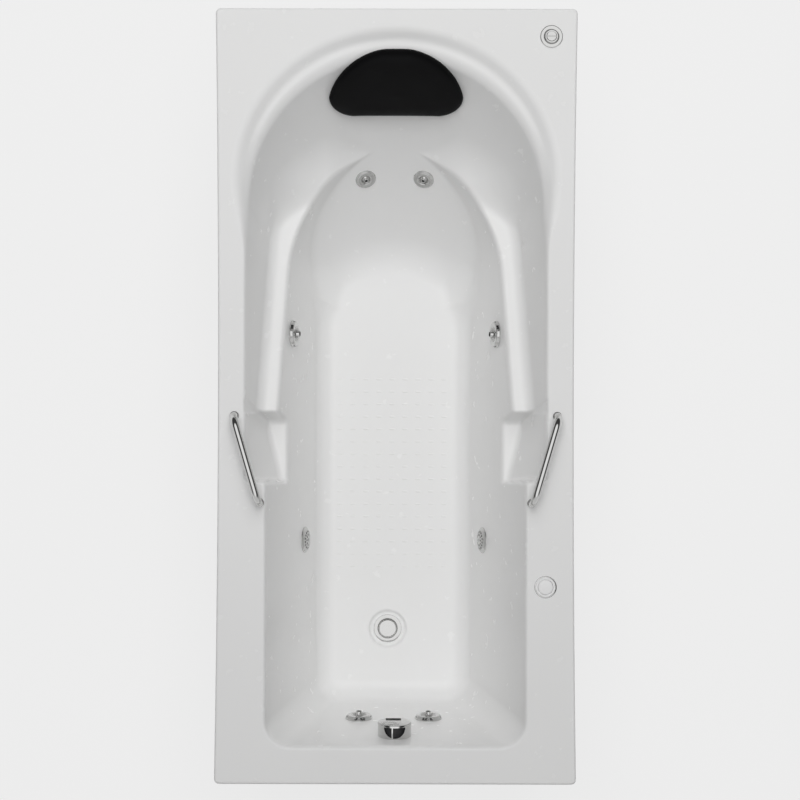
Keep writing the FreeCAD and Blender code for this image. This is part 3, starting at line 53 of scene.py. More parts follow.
# the photograph looks straight down; the point under the lens is a little left of the tub's centre
cameraSet = {"place": (-0.050, -0.007, 4.043), "roll": 0.14, "lens": 81.6, "shiftX": 0.0375}
cameraData = bpy.data.cameras.new("overheadCamera")
cameraData.lens = cameraSet["lens"]
cameraData.sensor_width = 36
cameraData.shift_x = cameraSet["shiftX"]
cameraData.clip_end = 50
camera = bpy.data.objects.new("overheadCamera", cameraData)
camera.location = cameraSet["place"]
camera.rotation_euler = (0, 0, math.radians(cameraSet["roll"]))
scene.collection.objects.link(camera)
scene.camera = camera
print("camera ready")


def linear(hexColour):
    parts = [int(hexColour[i:i + 2], 16) / 255 for i in (1, 3, 5)]
    return tuple(c / 12.92 if c <= 0.04045 else ((c + 0.055) / 1.055) ** 2.4 for c in parts) + (1.0,)


def addNode(tree, kind, inputs=None, links=None, **settings):
    node = tree.nodes.new(kind)
    for key, value in settings.items():
        setattr(node, key, value)
    for key, value in (inputs or {}).items():
        node.inputs[key].default_value = value
    for key, source in (links or {}).items():
        tree.links.new(source, node.inputs[key])
    return node


def newMaterial(name):
    material = bpy.data.materials.new(name)
    material.use_nodes = True
    tree = material.node_tree
    shader = tree.nodes["Principled BSDF"]
    place = addNode(tree, "ShaderNodeTexCoord").outputs["Object"]
    return material, tree, shader, place


def setShader(shader, values):
    for key, value in values.items():
        shader.inputs[key].default_value = value


def noiseAt(tree, place, scale, detail):
    return addNode(tree, "ShaderNodeTexNoise", {"Scale": scale, "Detail": detail}, {"Vector": place}).outputs["Fac"]


# colour, gloss and relief of a material, each led by a texture
def tintBy(tree, shader, source, dark, light):
    tint = addNode(tree, "ShaderNodeMix", {6: linear(dark), 7: linear(light)}, {0: source}, data_type="RGBA")
    tree.links.new(tint.outputs[2], shader.inputs["Base Color"])


def roughBy(tree, shader, source, low, high):
    rough = addNode(tree, "ShaderNodeMapRange", {"To Min": low, "To Max": high}, {"Value": source})
    tree.links.new(rough.outputs[0], shader.inputs["Roughness"])


def bumpBy(tree, shader, source, strength, distance):
    bump = addNode(tree, "ShaderNodeBump", {"Strength": strength, "Distance": distance}, {"Height": source})
    tree.links.new(bump.outputs[0], shader.inputs["Normal"])


# cast acrylic sheet, vacuum formed and polished: a deep even gloss with a very slow ripple
def makeAcrylic():
    material, tree, shader, place = newMaterial("castAcrylicPolished")
    tintBy(tree, shader, noiseAt(tree, place, 5.0, 3.0), "#F7F7F6", "#FAFAFA")
    roughBy(tree, shader, noiseAt(tree, place, 38.0, 5.0), 0.22, 0.30)
    bumpBy(tree, shader, noiseAt(tree, place, 14.0, 2.0), 0.08, 0.002)
    setShader(shader, {"IOR": 1.49})
    return material


# resin and chopped glass fibre rolled onto the back of the sheet: dull, uneven, with short strands
def makeBacking():
    material, tree, shader, place = newMaterial("glassFibreRolled")
    strand = addNode(tree, "ShaderNodeTexVoronoi", {"Scale": 120.0, "Randomness": 1.0}, {"Vector": place},
                     feature="DISTANCE_TO_EDGE")
    tintBy(tree, shader, noiseAt(tree, place, 9.0, 6.0), "#CFCBBE", "#E3E0D6")
    bumpBy(tree, shader, strand.outputs["Distance"], 0.5, 0.0015)
    setShader(shader, {"Roughness": 0.62, "IOR": 1.55})
    return material


# brass or steel polished and chrome plated: mirror bright, with the faintest wiping marks
def makeChrome():
    material, tree, shader, place = newMaterial("chromePlatedPolished")
    roughBy(tree, shader, noiseAt(tree, place, 220.0, 3.0), 0.05, 0.12)
    setShader(shader, {"Base Color": linear("#CFCFCE"), "Metallic": 1.0})
    return material


# plain plastic pieces: two close shades, a gloss, and the size and depth of the moulded grain in millimetres
def makePlastic(name, dark, light, roughness, grain, depth):
    material, tree, shader, place = newMaterial(name)
    tintBy(tree, shader, noiseAt(tree, place, 25.0, 4.0), dark, light)
    bumpBy(tree, shader, noiseAt(tree, place, 1000.0 / grain, 2.0), 0.35, depth * mm)
    setShader(shader, {"Roughness": roughness, "IOR": 1.5})
    return material


# mild steel tube dipped in zinc: grey patches of crystal with slightly different gloss
def makeZincSteel():
    material, tree, shader, place = newMaterial("zincDippedSteel")
    crystal = addNode(tree, "ShaderNodeTexVoronoi", {"Scale": 110.0}, {"Vector": place})
    value = addNode(tree, "ShaderNodeSeparateColor", links={"Color": crystal.outputs["Color"]})
    tintBy(tree, shader, value.outputs[0], "#8F9496", "#B4B8B9")
    roughBy(tree, shader, value.outputs[1], 0.32, 0.5)
    setShader(shader, {"Metallic": 1.0})
    return material


# stainless steel, turned: bright, with a very fine uneven sheen
def makeStainless():
    material, tree, shader, place = newMaterial("stainlessSteelTurned")
    roughBy(tree, shader, noiseAt(tree, place, 900.0, 1.0), 0.18, 0.34)
    setShader(shader, {"Base Color": linear("#C6C7C7"), "Metallic": 1.0})
    return material


# sawn softwood and plywood: long grain along the tub, a little darker in the late wood
def makeWood():
    material, tree, shader, place = newMaterial("softwoodSawn")
    stretch = addNode(tree, "ShaderNodeMapping", {"Scale": (60.0, 3.0, 60.0)}, {"Vector": place})
    grain = addNode(tree, "ShaderNodeTexNoise", {"Scale": 2.0, "Detail": 6.0, "Distortion": 0.6},
                    {"Vector": stretch.outputs[0]}).outputs["Fac"]
    tintBy(tree, shader, grain, "#A9824F", "#CFAE7C")
    bumpBy(tree, shader, grain, 0.4, 0.0008)
    setShader(shader, {"Roughness": 0.7})
    return material


# integral skin foam: a closed black skin, satin, with a very fine leathery pebble about 1 mm across
def makePillowSkin():
    material, tree, shader, place = newMaterial("foamSkinMoulded")
    pebble = addNode(tree, "ShaderNodeTexVoronoi", {"Scale": 900.0}, {"Vector": place}, feature="SMOOTH_F1")
    bumpBy(tree, shader, pebble.outputs["Distance"], 0.25, 0.0003)
    roughBy(tree, shader, noiseAt(tree, place, 30.0, 4.0), 0.48, 0.6)
    setShader(shader, {"Base Color": linear("#070708"), "Specular IOR Level": 0.12})
    return material


acrylic = makeAcrylic()
backing = makeBacking()
chrome = makeChrome()
zincSteel = makeZincSteel()
stainless = makeStainless()
wood = makeWood()
pillowSkin = makePillowSkin()
pipePlastic = makePlastic("pvcExtruded", "#DEDDD8", "#E9E8E4", 0.38, 0.8, 0.05)
blackPlastic = makePlastic("absBlackMoulded", "#141416", "#1B1B1E", 0.45, 1.0, 0.12)
whitePlastic = makePlastic("absWhiteMoulded", "#FAFAFA", "#FDFDFD", 0.22, 1.2, 0.03)
greyPlastic = makePlastic("nylonGlassFilled", "#C9C3B0", "#D5D0BF", 0.5, 0.6, 0.08)
hosePlastic = makePlastic("softPvcHose", "#C3C9C8", "#D6DAD9", 0.3, 2.0, 0.04)
blackRubber = makePlastic("nitrileRubberMoulded", "#101011", "#161617", 0.6, 0.5, 0.06)
clearRubber = makePlastic("siliconeClearMoulded", "#B9BFBE", "#C9CECD", 0.25, 1.0, 0.03)
motorPaint = makePlastic("aluminiumCastPainted", "#2A2D31", "#34383C", 0.42, 1.6, 0.15)

slotMaterials = {
    "acrylic_white": acrylic, "chrome": chrome, "stainless": stainless, "zinc_steel": zincSteel,
    "pipe_pvc": pipePlastic, "black_abs": blackPlastic, "soft_black": blackRubber,
    "clear_rubber": clearRubber, "wood": wood, "clear_hose": hosePlastic, "motor_paint": motorPaint,
    "white_plastic": whitePlastic, "impeller_plastic": greyPlastic,
}
for part in frame["record"]["subparts"]:
    mesh = nodes[part["node"]].data
    mesh.materials.clear()
    mesh.materials.append(slotMaterials[part["material_slot"]])
print("materials ready")


def meshObject(name, points, faces, material, body, sharpAngle=None):
    mesh = bpy.data.meshes.new(name)
    mesh.from_pydata([tuple(p) for p in points], [], faces)
    mesh.materials.append(material)
    mesh.shade_smooth()
    if sharpAngle is not None:
        mesh.set_sharp_from_angle(angle=math.radians(sharpAngle))
    thing = bpy.data.objects.new(name, mesh)
    scene.collection.objects.link(thing)
    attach(thing, body)
    return thing


# the moulded sheet, all in millimetres; depth is measured down from the deck
tub = {
    "length": 1500, "width": 700, "height": 540, "sideBow": 6, "cornerRadius": 10, "lipDrop": 30,
    "wall": 5, "depth": 385, "edgeRadius": 5, "rimRadius": 4,
    "bowlHalf": 292, "bowlDraft": 0.26, "bowlReach": 677, "bowlLean": 0.70, "bowlCurve": 0.0007,
    "wellHalf": 252, "wellDraft": 0.248, "wellFoot": 678, "wellFootDraft": 0.0875,
    "wellFootCorner": 50, "wellArcShift": 77, "wellArcStart": 250,
    "floorFillet": 42, "floorHeadFillet": 130, "floorSoftFrom": 150, "floorSoftRun": 130,
    "creaseFillet": 80, "creaseTop": 6, "creaseRun": 120, "armEdgeRadius": 7,
    "coveRadius": 24, "coveHeadRadius": 140, "coveFrom": 340, "coveRun": 100, "coveInner": 50, "coveFade": 90,
    "armEnd": -30, "armEndDepth": 82, "armSlope": 0.2455,
    "pocketDepth": 147, "pocketEnd": -172, "pocketStep": 20, "pocketFootHalf": 229, "pocketOut": 2,
    "pocketIn": 35, "pocketFootLean": 12, "pocketBend": 10, "pocketBendRun": 60, "pocketSteep": 1.07,
    "pocketRadius": 9, "pocketCrease": 5, "pocketEdge": 5, "armEdgeRun": 25,
    "crescentHalf": 312, "crescentReach": 288, "crescentCentre": 424, "crescentDepth": 13,
    "crescentSlope": 0.62, "crescentCove": 24, "crescentEdge": 13,
    "drain": (-11, -497), "dishRadius": 39, "dishDepth": 6, "dishCove": 4, "dishEdge": 3,
    "gridAcross": 2.0, "gridAlong": 2.5, "backGrid": 5.0,
}


# a concave corner between two distances, filled to a radius; bend is the cosine between their normals
def coved(a, b, radius, bend=0.0):
    u, v = radius + a, radius + b
    filled = np.sqrt(np.maximum(u * u + v * v - 2 * u * v * bend, 0) / (1 - bend * bend)) - radius
    return np.where((u > v * bend) & (v > u * bend), filled, np.maximum(a, b))


# a convex edge between two distances, rounded over
def eased(a, b, radius):
    return -coved(-a, -b, radius)


# the way a distance grows, as a unit vector, and the cosine between two such ways
def growth(distance, x, y, depth):
    step = 0.5
    way = np.stack([distance(x + step, y, depth) - distance(x - step, y, depth),
                    distance(x, y + step, depth) - distance(x, y - step, depth),
                    distance(x, y, depth + step) - distance(x, y, depth - step)])
    return way / np.maximum(np.linalg.norm(way, axis=0), 1e-9)


def cosineOf(wayA, wayB):
    return np.clip((wayA * wayB).sum(axis=0), -0.5, 0.985)


# the bowl at a depth: its half width, how fast the backrest leans there, and the centre of its round end
def bowlPlan(depth):
    t = tub
    half = t["bowlHalf"] - t["bowlDraft"] * depth
    lean = t["bowlLean"] + 2 * t["bowlCurve"] * depth
    return half, lean, t["bowlReach"] - t["bowlLean"] * depth - t["bowlCurve"] * depth ** 2 - half


def bowlDistance(x, y, depth):
    t = tub
    half, lean, centre = bowlPlan(depth)
    ahead = np.maximum(y - centre, 0)
    reach = np.hypot(x, ahead)
    turn = ahead / np.maximum(reach, 1)
    speed = t["bowlDraft"] + (lean - t["bowlDraft"]) * turn
    return (reach - half) / np.sqrt(1 + speed ** 2)


# the backrest alone, as a distance that keeps growing away from it
def backDistance(x, y, depth):
    half, lean, centre = bowlPlan(depth)
    chord = np.sqrt(np.maximum(half ** 2 - x ** 2, 100))
    slide = x / chord
    fall = tub["bowlDraft"] - lean - half * tub["bowlDraft"] / chord
    return (y - centre - chord) / np.sqrt(1 + slide ** 2 + fall ** 2)


def wellWalls(x, y, depth):
    t = tub
    half = t["wellHalf"] - t["wellDraft"] * depth
    shift = t["wellArcShift"]
    reach = np.hypot(np.abs(x) + shift, np.maximum(y - t["wellArcStart"], 0))
    side = (reach - half - shift) / math.hypot(1, t["wellDraft"])
    foot = (t["wellFootDraft"] * depth - t["wellFoot"] - y) / math.hypot(1, t["wellFootDraft"])
    return coved(side, foot, t["wellFootCorner"])


def armTop(x, y, depth):
    t = tub
    return (depth - t["armEndDepth"] - t["armSlope"] * (y - t["armEnd"])) / math.hypot(1, t["armSlope"])


def pocketDistance(x, y, depth):
    t = tub
    across = np.abs(x)
    share = np.clip(depth / t["pocketDepth"], -0.2, 1.2)
    step = t["pocketStep"] / (t["pocketDepth"] - t["armEndDepth"])
    head = t["armEnd"] - step * (depth - t["armEndDepth"])
    outer = t["bowlHalf"] + t["pocketOut"]
    headAcross = outer - t["pocketIn"] * share
    footAcross = outer + (t["pocketFootHalf"] - outer) * share
    footAlong = t["pocketEnd"] + t["pocketFootLean"] * (1 - share)
    runX, runY = footAcross - headAcross, footAlong - head
    run = np.hypot(runX, runY)
    wall = ((head - footAlong) * (across - headAcross) + runX * (y - head)) / run / t["pocketSteep"]
    bend = np.clip((footAcross - across) / t["pocketBendRun"], 0, 1)
    foot = footAlong - t["pocketBend"] * (1 - share) * bend - y
    room = coved(wall, foot, t["pocketRadius"])
    room = coved(room, (y - head) / math.hypot(1, step), t["pocketCrease"])
    return coved(room, depth - t["pocketDepth"], t["pocketRadius"])


def crescentDistance(x, y, depth):
    t = tub
    steep = math.hypot(1, t["crescentSlope"])
    ahead = (y - t["crescentCentre"]) / t["crescentReach"]
    within = (1 - np.hypot(x / t["crescentHalf"], ahead)) * t["crescentReach"]
    slope = (depth - t["crescentSlope"] * within) / steep
    return coved(slope, depth - t["crescentDepth"], t["crescentCove"], 1 / steep)


def dishDistance(x, y, depth):
    t = tub
    wall = np.hypot(x - t["drain"][0], y - t["drain"][1]) - t["dishRadius"]
    return coved(wall, depth - t["depth"] - t["dishDepth"], t["dishCove"])


def smoothShare(value):
    share = np.clip(value, 0, 1)
    return share * share * (3 - 2 * share)


# the crease between side wall and backrest opens out downwards, and the floor rises softly at the head
def creaseRadius(y, depth):
    t = tub
    below = depth - t["armEndDepth"] - t["armSlope"] * (y - t["armEnd"])
    return t["creaseTop"] + (t["creaseFillet"] - t["creaseTop"]) * smoothShare(below / t["creaseRun"])


def floorRadius(y):
    t = tub
    share = smoothShare((y - t["floorSoftFrom"]) / t["floorSoftRun"])
    return t["floorFillet"] + (t["floorHeadFillet"] - t["floorFillet"]) * share


# the cove between armrest and bowl grows towards the head, so the armrest runs out into the backrest,
# and stays small on the middle line, where there is no armrest
def coveAt(x, y):
    t = tub
    share = smoothShare((y - t["coveFrom"]) / t["coveRun"])
    share = share * smoothShare((np.abs(x) - t["coveInner"]) / t["coveFade"])
    return t["coveRadius"] + (t["coveHeadRadius"] - t["coveRadius"]) * share


# distance into the sheet from the air above it, negative in the air; size scales the big fillets
def airDistance(x, y, depth, bends, size=1.0):
    t = tub
    back = backDistance(x, y, depth)
    bowl = bowlDistance(x, y, depth)
    well = coved(wellWalls(x, y, depth), back, creaseRadius(y, depth) * size, bends["crease"])
    well = coved(well, depth - t["depth"], floorRadius(y) * size, bends["floor"])
    arm = coved(armTop(x, y, depth), bowl, coveAt(x, y) * size, bends["arm"])
    pocket = coved(pocketDistance(x, y, depth), bowl, 1)
    upper = eased(np.maximum(arm, t["armEnd"] - y), pocket, t["pocketEdge"])
    edge = t["armEdgeRadius"] * np.clip(-back / t["armEdgeRun"], 0, 1) + 0.01
    room = eased(well, upper, edge)
    room = eased(room, crescentDistance(x, y, depth), t["crescentEdge"])
    room = eased(room, depth + 0 * x, t["edgeRadius"])
    return eased(room, dishDistance(x, y, depth), t["dishEdge"])


def solvedDepth(x, y, level, bends, size):
    low = np.full(x.shape, -20.0)
    high = np.full(x.shape, 420.0)
    for _ in range(24):
        middle = (low + high) / 2
        inside = airDistance(x, y, middle, bends, size) < level
        low = np.where(inside, middle, low)
        high = np.where(inside, high, middle)
    return (low + high) / 2


# first with small corners, to learn how steeply the walls meet there, then with the real fillets
def depthAt(x, y, level):
    sharp = solvedDepth(x, y, level, {"crease": 0.0, "floor": 0.0, "arm": 0.0}, 0.02)
    crease = cosineOf(growth(backDistance, x, y, sharp), growth(wellWalls, x, y, sharp))
    arm = cosineOf(growth(bowlDistance, x, y, sharp), growth(armTop, x, y, sharp))

    def creased(px, py, pd):
        return coved(wellWalls(px, py, pd), backDistance(px, py, pd), tub["creaseFillet"], crease)
    low = growth(creased, x, y, np.full(x.shape, tub["depth"] - tub["floorFillet"] / 2))[2]
    bends = {"crease": crease, "arm": arm, "floor": np.clip(low, -0.5, 0.985)}
    return solvedDepth(x, y, level, bends, 1.0)


def halfWidthAt(y, inset):
    bow = tub["sideBow"] * (1 - np.clip(np.abs(y) / (tub["length"] / 2 - tub["cornerRadius"]), 0, 1) ** 2)
    return tub["width"] / 2 - bow - inset


# a grid over the deck whose border follows the deck's outline at an inset
def deckGrid(inset, stepX, stepY):
    countX = int(tub["width"] / stepX)
    countY = int(tub["length"] / stepY)
    along = np.linspace(-tub["length"] / 2 + inset, tub["length"] / 2 - inset, countY + 1)
    across = np.linspace(-1, 1, countX + 1)
    y = np.repeat(along[:, None], countX + 1, axis=1)
    x = across[None, :] * halfWidthAt(along, inset)[:, None]
    corner = max(tub["cornerRadius"] - inset, 1.0)
    cornerX = halfWidthAt(y, inset) - corner
    cornerY = tub["length"] / 2 - inset - corner
    outX, outY = np.abs(x) - cornerX, np.abs(y) - cornerY
    reach = np.hypot(outX, outY)
    past = (outX > 0) & (outY > 0) & (reach > corner)
    scale = np.where(past, corner / np.maximum(reach, 0.001), 1)
    x = np.where(past, np.sign(x) * (cornerX + outX * scale), x)
    y = np.where(past, np.sign(y) * (cornerY + outY * scale), y)
    return x, y


def borderLoop(rows, columns):
    loop = [(0, c) for c in range(columns)]
    loop += [(r, columns - 1) for r in range(1, rows)]
    loop += [(rows - 1, c) for c in range(columns - 2, -1, -1)]
    loop += [(r, 0) for r in range(rows - 2, 0, -1)]
    return loop


def outlineNormals(loopX, loopY, inset):
    corner = max(tub["cornerRadius"] - inset, 1.0)
    cornerX = halfWidthAt(loopY, inset) - corner
    cornerY = tub["length"] / 2 - inset - corner
    normalX = np.where(np.abs(loopX) > cornerX, (np.abs(loopX) - cornerX) / corner, 0)
    normalY = np.where(np.abs(loopY) > cornerY, (np.abs(loopY) - cornerY) / corner, 0)
    size = np.maximum(np.hypot(normalX, normalY), 1e-6)
    return np.sign(loopX) * normalX / size, np.sign(loopY) * normalY / size


# where fittings pass through the sheet: a point on the wall, the way out of it, and the hole's radius
fittings = {
    "side_left": ((-206.86, 127, 182), (1, 0, 0.248), 15),
    "side_right": ((206.86, 127, 182), (-1, 0, 0.248), 15),
    "foot_left": ((-71, -659.19, 215), (0, 1, 0.0875), 15),
    "foot_right": ((71, -659.19, 215), (0, 1, 0.0875), 15),
    "back_left": ((-60, 450.18, 250), (0.274, -1, 1.06), 12),
    "back_right": ((60, 450.18, 250), (-0.274, -1, 1.06), 12),
    "suction_left": ((-185.04, -298, 270), (1, 0, 0.248), 20),
    "suction_right": ((185.04, -298, 270), (-1, 0, 0.248), 20),
    "overflow": ((0, -670.56, 85), (0, 1, 0.0875), 20),
    "drain": ((-11, -497, 391), (0, 0, 1), 24),
    "air": ((299, 696, 0), (0, 0, 1), 16),
    "button": ((290, -368, 0), (0, 0, 1), 16),
}


def wallPlace(name):
    (x, y, depth), way, _ = fittings[name]
    up = Vector(way).normalized()
    acrossHint = Vector((0, 1, 0)) if abs(way[0]) > 0.9 else Vector((-1 if name == "overflow" else 1, 0, 0))
    across = (acrossHint - up * acrossHint.dot(up)).normalized()
    along = up.cross(across)
    place = Matrix((across, along, up)).transposed().to_4x4()
    place.translation = Vector((x, y, tub["height"] - depth)) * mm
    return place


def sheetSurface(name, level, inset, stepX, stepY, rows, material, flip):
    x, y = deckGrid(inset, stepX, stepY)
    depth = depthAt(x, y, level)
    points = np.stack([x, y, tub["height"] - depth], axis=-1)
    rowCount, columnCount = x.shape
    index = np.arange(x.size).reshape(x.shape)
    quads = np.stack([index[:-1, :-1], index[:-1, 1:], index[1:, 1:], index[1:, :-1]], axis=-1).reshape(-1, 4)
    flat = points.reshape(-1, 3)
    middle = flat[quads].mean(axis=1)
    keep = np.ones(len(quads), bool)
    for (px, py, pd), way, radius in fittings.values():
        way = np.array(way) / np.linalg.norm(way)
        away = middle - np.array([px, py, tub["height"] - pd])
        height = away @ way
        reach = np.linalg.norm(away - height[:, None] * way, axis=1)
        keep &= ~((reach < radius) & (np.abs(height) < 14))
    quads = quads[keep]
    loop = borderLoop(rowCount, columnCount)
    loopIndex = np.array([index[r, c] for r, c in loop])
    loopX, loopY = flat[loopIndex, 0], flat[loopIndex, 1]
    normalX, normalY = outlineNormals(loopX, loopY, inset)
    previous = loopIndex
    extra, faces = [], []
    start = len(flat)
    top = flat[loopIndex, 2]
    for offset, drop in rows:
        ring = np.stack([loopX + normalX * offset, loopY + normalY * offset, top - drop], axis=1)
        current = np.arange(start, start + len(ring))
        extra.append(ring)
        start += len(ring)
        faces.append(np.stack([previous, current, np.roll(current, -1), np.roll(previous, -1)], axis=1))
        previous = current
    flat = np.concatenate([flat] + extra) * mm
    quads = np.concatenate([quads] + faces)
    if flip:
        quads = quads[:, ::-1]
    mesh = bpy.data.meshes.new(name)
    mesh.vertices.add(len(flat))
    mesh.vertices.foreach_set("co", flat.ravel())
    mesh.loops.add(quads.size)
    mesh.loops.foreach_set("vertex_index", quads.ravel().astype(np.int32))
    mesh.polygons.add(len(quads))
    mesh.polygons.foreach_set("loop_start", np.arange(0, quads.size, 4, dtype=np.int32))
    mesh.update()
    mesh.validate()
    mesh.materials.append(material)
    mesh.shade_smooth()
    thing = bpy.data.objects.new(name, mesh)
    scene.collection.objects.link(thing)
    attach(thing, "tub")
    return thing


rim = tub["rimRadius"]
drop = tub["lipDrop"]
lipRows = [(rim * math.sin(a), rim - rim * math.cos(a)) for a in (0.39, 0.79, 1.18, 1.57)]
lipRows += [(rim, 15), (rim, drop - 1), (rim - 1, drop), (rim - 4, drop), (rim - 5, drop - 1)]
shellFace = sheetSurface("tubShellFace", 0, rim, tub["gridAcross"], tub["gridAlong"], lipRows, acrylic, False)
shellBack = sheetSurface("tubShellBack", tub["wall"], 5.1, tub["backGrid"], tub["backGrid"],
                         [(0.0, 5), (0.0, 24)], backing, True)
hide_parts("tub_shell")
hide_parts("tub_shell")
print("shell ready:", len(shellFace.data.polygons), "faces")


# anti-slip dashes raised on the floor
grip = {"columns": 9, "rows": 16, "firstX": -114, "stepX": 27.9, "firstY": -363, "stepY": 26.7,
        "length": 14, "width": 4.2, "rise": 0.7}


def makeGrip():
    points, faces = [], []
    rings, around = 4, 16
    for column in range(grip["columns"]):
        for row in range(grip["rows"]):
            cx = grip["firstX"] + column * grip["stepX"]
            cy = grip["firstY"] + row * grip["stepY"]
            base = len(points)
            for ring in range(rings):
                share = 1 - ring / rings
                lift = grip["rise"] * (1 - share ** 2)
                for k in range(around):
                    a = 2 * math.pi * k / around
                    flatX = max(-1, min(1, 1.3 * math.cos(a)))
                    x = cx + share * (flatX * (grip["length"] - grip["width"]) / 2 + math.cos(a) * grip["width"] / 2)
                    y = cy + share * math.sin(a) * grip["width"] / 2
                    points.append((x * mm, y * mm, (tub["height"] - tub["depth"] + lift - 0.05) * mm))
            points.append((cx * mm, cy * mm, (tub["height"] - tub["depth"] + grip["rise"]) * mm))
            for ring in range(rings - 1):
                for k in range(around):
                    a, b = base + ring * around + k, base + ring * around + (k + 1) % around
                    faces.append((a, b, b + around, a + around))
            last = base + (rings - 1) * around
            for k in range(around):
                faces.append((last + k, last + (k + 1) % around, base + rings * around))
    thing = meshObject("floorGripDashes", points, faces, acrylic, "tub")


makeGrip()


# turned pieces: corners of radius and height, each with its own rounding
def softOutline(corners, closed):
    result = []
    count = len(corners)
    for i, corner in enumerate(corners):
        p = Vector(corner[:2])
        size = corner[2] if len(corner) > 2 else 0
        if size == 0 or (not closed and i in (0, count - 1)):
            result.append(p)
            continue
        before = Vector(corners[i - 1][:2])
        after = Vector(corners[(i + 1) % count][:2])
        back, on = (before - p), (after - p)
        reach = min(size, back.length * 0.49, on.length * 0.49)
        start, end = p + back.normalized() * reach, p + on.normalized() * reach
        for step in range(5):
            s = step / 4
            result.append(start * (1 - s) ** 2 + p * 2 * s * (1 - s) + end * s ** 2)
    return result


def lathe(name, corners, place, material, body, around=72, closed=True):
    outline = softOutline(corners, closed)
    points = []
    for k in range(around):
        a = 2 * math.pi * k / around
        for p in outline:
            local = Vector((max(p.x, 0.001) * math.cos(a), max(p.x, 0.001) * math.sin(a), p.y)) * mm
            points.append(place @ local)
    count = len(outline)
    last = count if closed else count - 1
    faces = []
    for k in range(around):
        for i in range(last):
            a, b = k * count + i, k * count + (i + 1) % count
            c, d = ((k + 1) % around) * count + (i + 1) % count, ((k + 1) % around) * count + i
            faces.append((a, d, c, b))
    thing = meshObject(name, points, faces, material, body, 38)
    return thing


def cutHoles(thing, cutters):
    for cutter in cutters:
        change = thing.modifiers.new("hole", "BOOLEAN")
        change.operation = "DIFFERENCE"
        change.solver = "EXACT"
        change.object = cutter
    bpy.context.view_layer.update()
    result = bpy.data.meshes.new_from_object(thing.evaluated_get(bpy.context.evaluated_depsgraph_get()))
    thing.modifiers.clear()
    thing.data = result
    result.set_sharp_from_angle(angle=math.radians(38))
    for cutter in cutters:
        bpy.data.objects.remove(cutter)


# the corners and faces of a small block between two values on each axis
boxFaces = [(3, 2, 1, 0), (4, 5, 6, 7), (0, 1, 5, 4), (1, 2, 6, 5), (2, 3, 7, 6), (3, 0, 4, 7)]


def boxCorners(left, right, near, far, low, high):
    return [(x, y, z) for z in (low, high) for x, y in ((left, near), (right, near), (right, far), (left, far))]


def cutterFrom(name, points, faces):
    mesh = bpy.data.meshes.new(name)
    mesh.from_pydata([tuple(p) for p in points], [], faces)
    thing = bpy.data.objects.new(name, mesh)
    scene.collection.objects.link(thing)
    return thing


def pinCutter(place, start, end, radius, around=20):
    a, b = place @ (Vector(start) * mm), place @ (Vector(end) * mm)
    way = (b - a).normalized()
    side = way.orthogonal().normalized()
    up = way.cross(side)
    points, faces = [], []
    for centre in (a, b):
        for k in range(around):
            t = 2 * math.pi * k / around
            points.append(centre + (side * math.cos(t) + up * math.sin(t)) * radius * mm)
    for k in range(around):
        n = (k + 1) % around
        faces.append((k, n, around + n, around + k))
    faces.append(tuple(reversed(range(around))))
    faces.append(tuple(range(around, 2 * around)))
    return cutterFrom("pinCutter", points, faces)


# water jets: a raised chrome ring, with air holes in its slope, and a ball that carries the nozzle
wallJet = {"ring": 28, "thick": 8, "ball": 13, "sunk": 6, "tube": 7, "reach": 15, "hole": 1.9, "holeTurn": 17}
backJet = {"ring": 21.5, "thick": 4, "ball": 9.5, "sunk": 4.5, "tube": 5, "reach": 7, "hole": 0}


def makeJet(name, size):
    place = wallPlace(name)
    throat = size["ball"] + 0.3
    thick = size["thick"]
    shoulder = size["ring"] - thick * 0.5
    # the socket follows the ball up to the lip, so the ball turns without touching it
    lip = thick * 0.19 + size["sunk"]
    mouth = math.sqrt(throat ** 2 - lip ** 2)
    turns = [math.asin(lip / throat) * k / 4 for k in (3, 2, 1, 0)]
    socket = [(throat * math.cos(a), throat * math.sin(a) - size["sunk"]) for a in turns]
    ring = lathe("jetRing_" + name, [
        (throat, -12), (throat + 3, -12), (throat + 3, -0.2), (size["ring"], -0.2, 0.4),
        (size["ring"], thick * 0.2, 0.5), (size["ring"] - 1.2, thick * 0.25, 0.3), (shoulder, thick, thick * 0.22),
        (mouth + thick * 0.6, thick, thick * 0.2), (mouth, lip - size["sunk"])] + socket,
        place, chrome, "tub")
    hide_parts("jet_ring_" + name)
    if size["hole"]:
        lean = Vector((thick * 0.7, thick * 0.4)).normalized()
        centre = Vector((size["ring"] - thick * 0.33, thick * 0.58))
        inner, outer = centre - lean * 2.2, centre + lean * 2.5
        cutters = []
        for side in range(4):
            for step in (-1, 0, 1):
                a = math.radians(side * 90 + step * size["holeTurn"])
                ends = [(p.x * math.cos(a), p.x * math.sin(a), p.y) for p in (inner, outer)]
                cutters.append(pinCutter(place, ends[0], ends[1], size["hole"], 14))
        cutHoles(ring, cutters)
    ball = size["ball"]
    tube = size["tube"]
    arc = [(ball * math.cos(math.radians(a)), ball * math.sin(math.radians(a)) - size["sunk"])
           for a in range(-40, 56, 8)]
    tip = size["reach"]
    corners = arc + [(tube + 0.6, math.sqrt(ball ** 2 - tube ** 2) - size["sunk"], 0.8), (tube, tip - 3, 1.2),
                     (tube - 0.8, tip, 0.8), (tube - 2.2, tip, 0.6), (tube - 1.9, tip - 5),
                     (tube - 1.9, -size["sunk"] - ball * 0.6)]
    nozzle = lathe("jetNozzle_" + name, corners, place, chrome, "nozzle_" + name)
    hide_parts("jet_nozzle_" + name)


for jetName in ("side_left", "side_right", "foot_left", "foot_right"):
    makeJet(jetName, wallJet)
for jetName in ("back_left", "back_right"):
    makeJet(jetName, backJet)
print("jets ready")

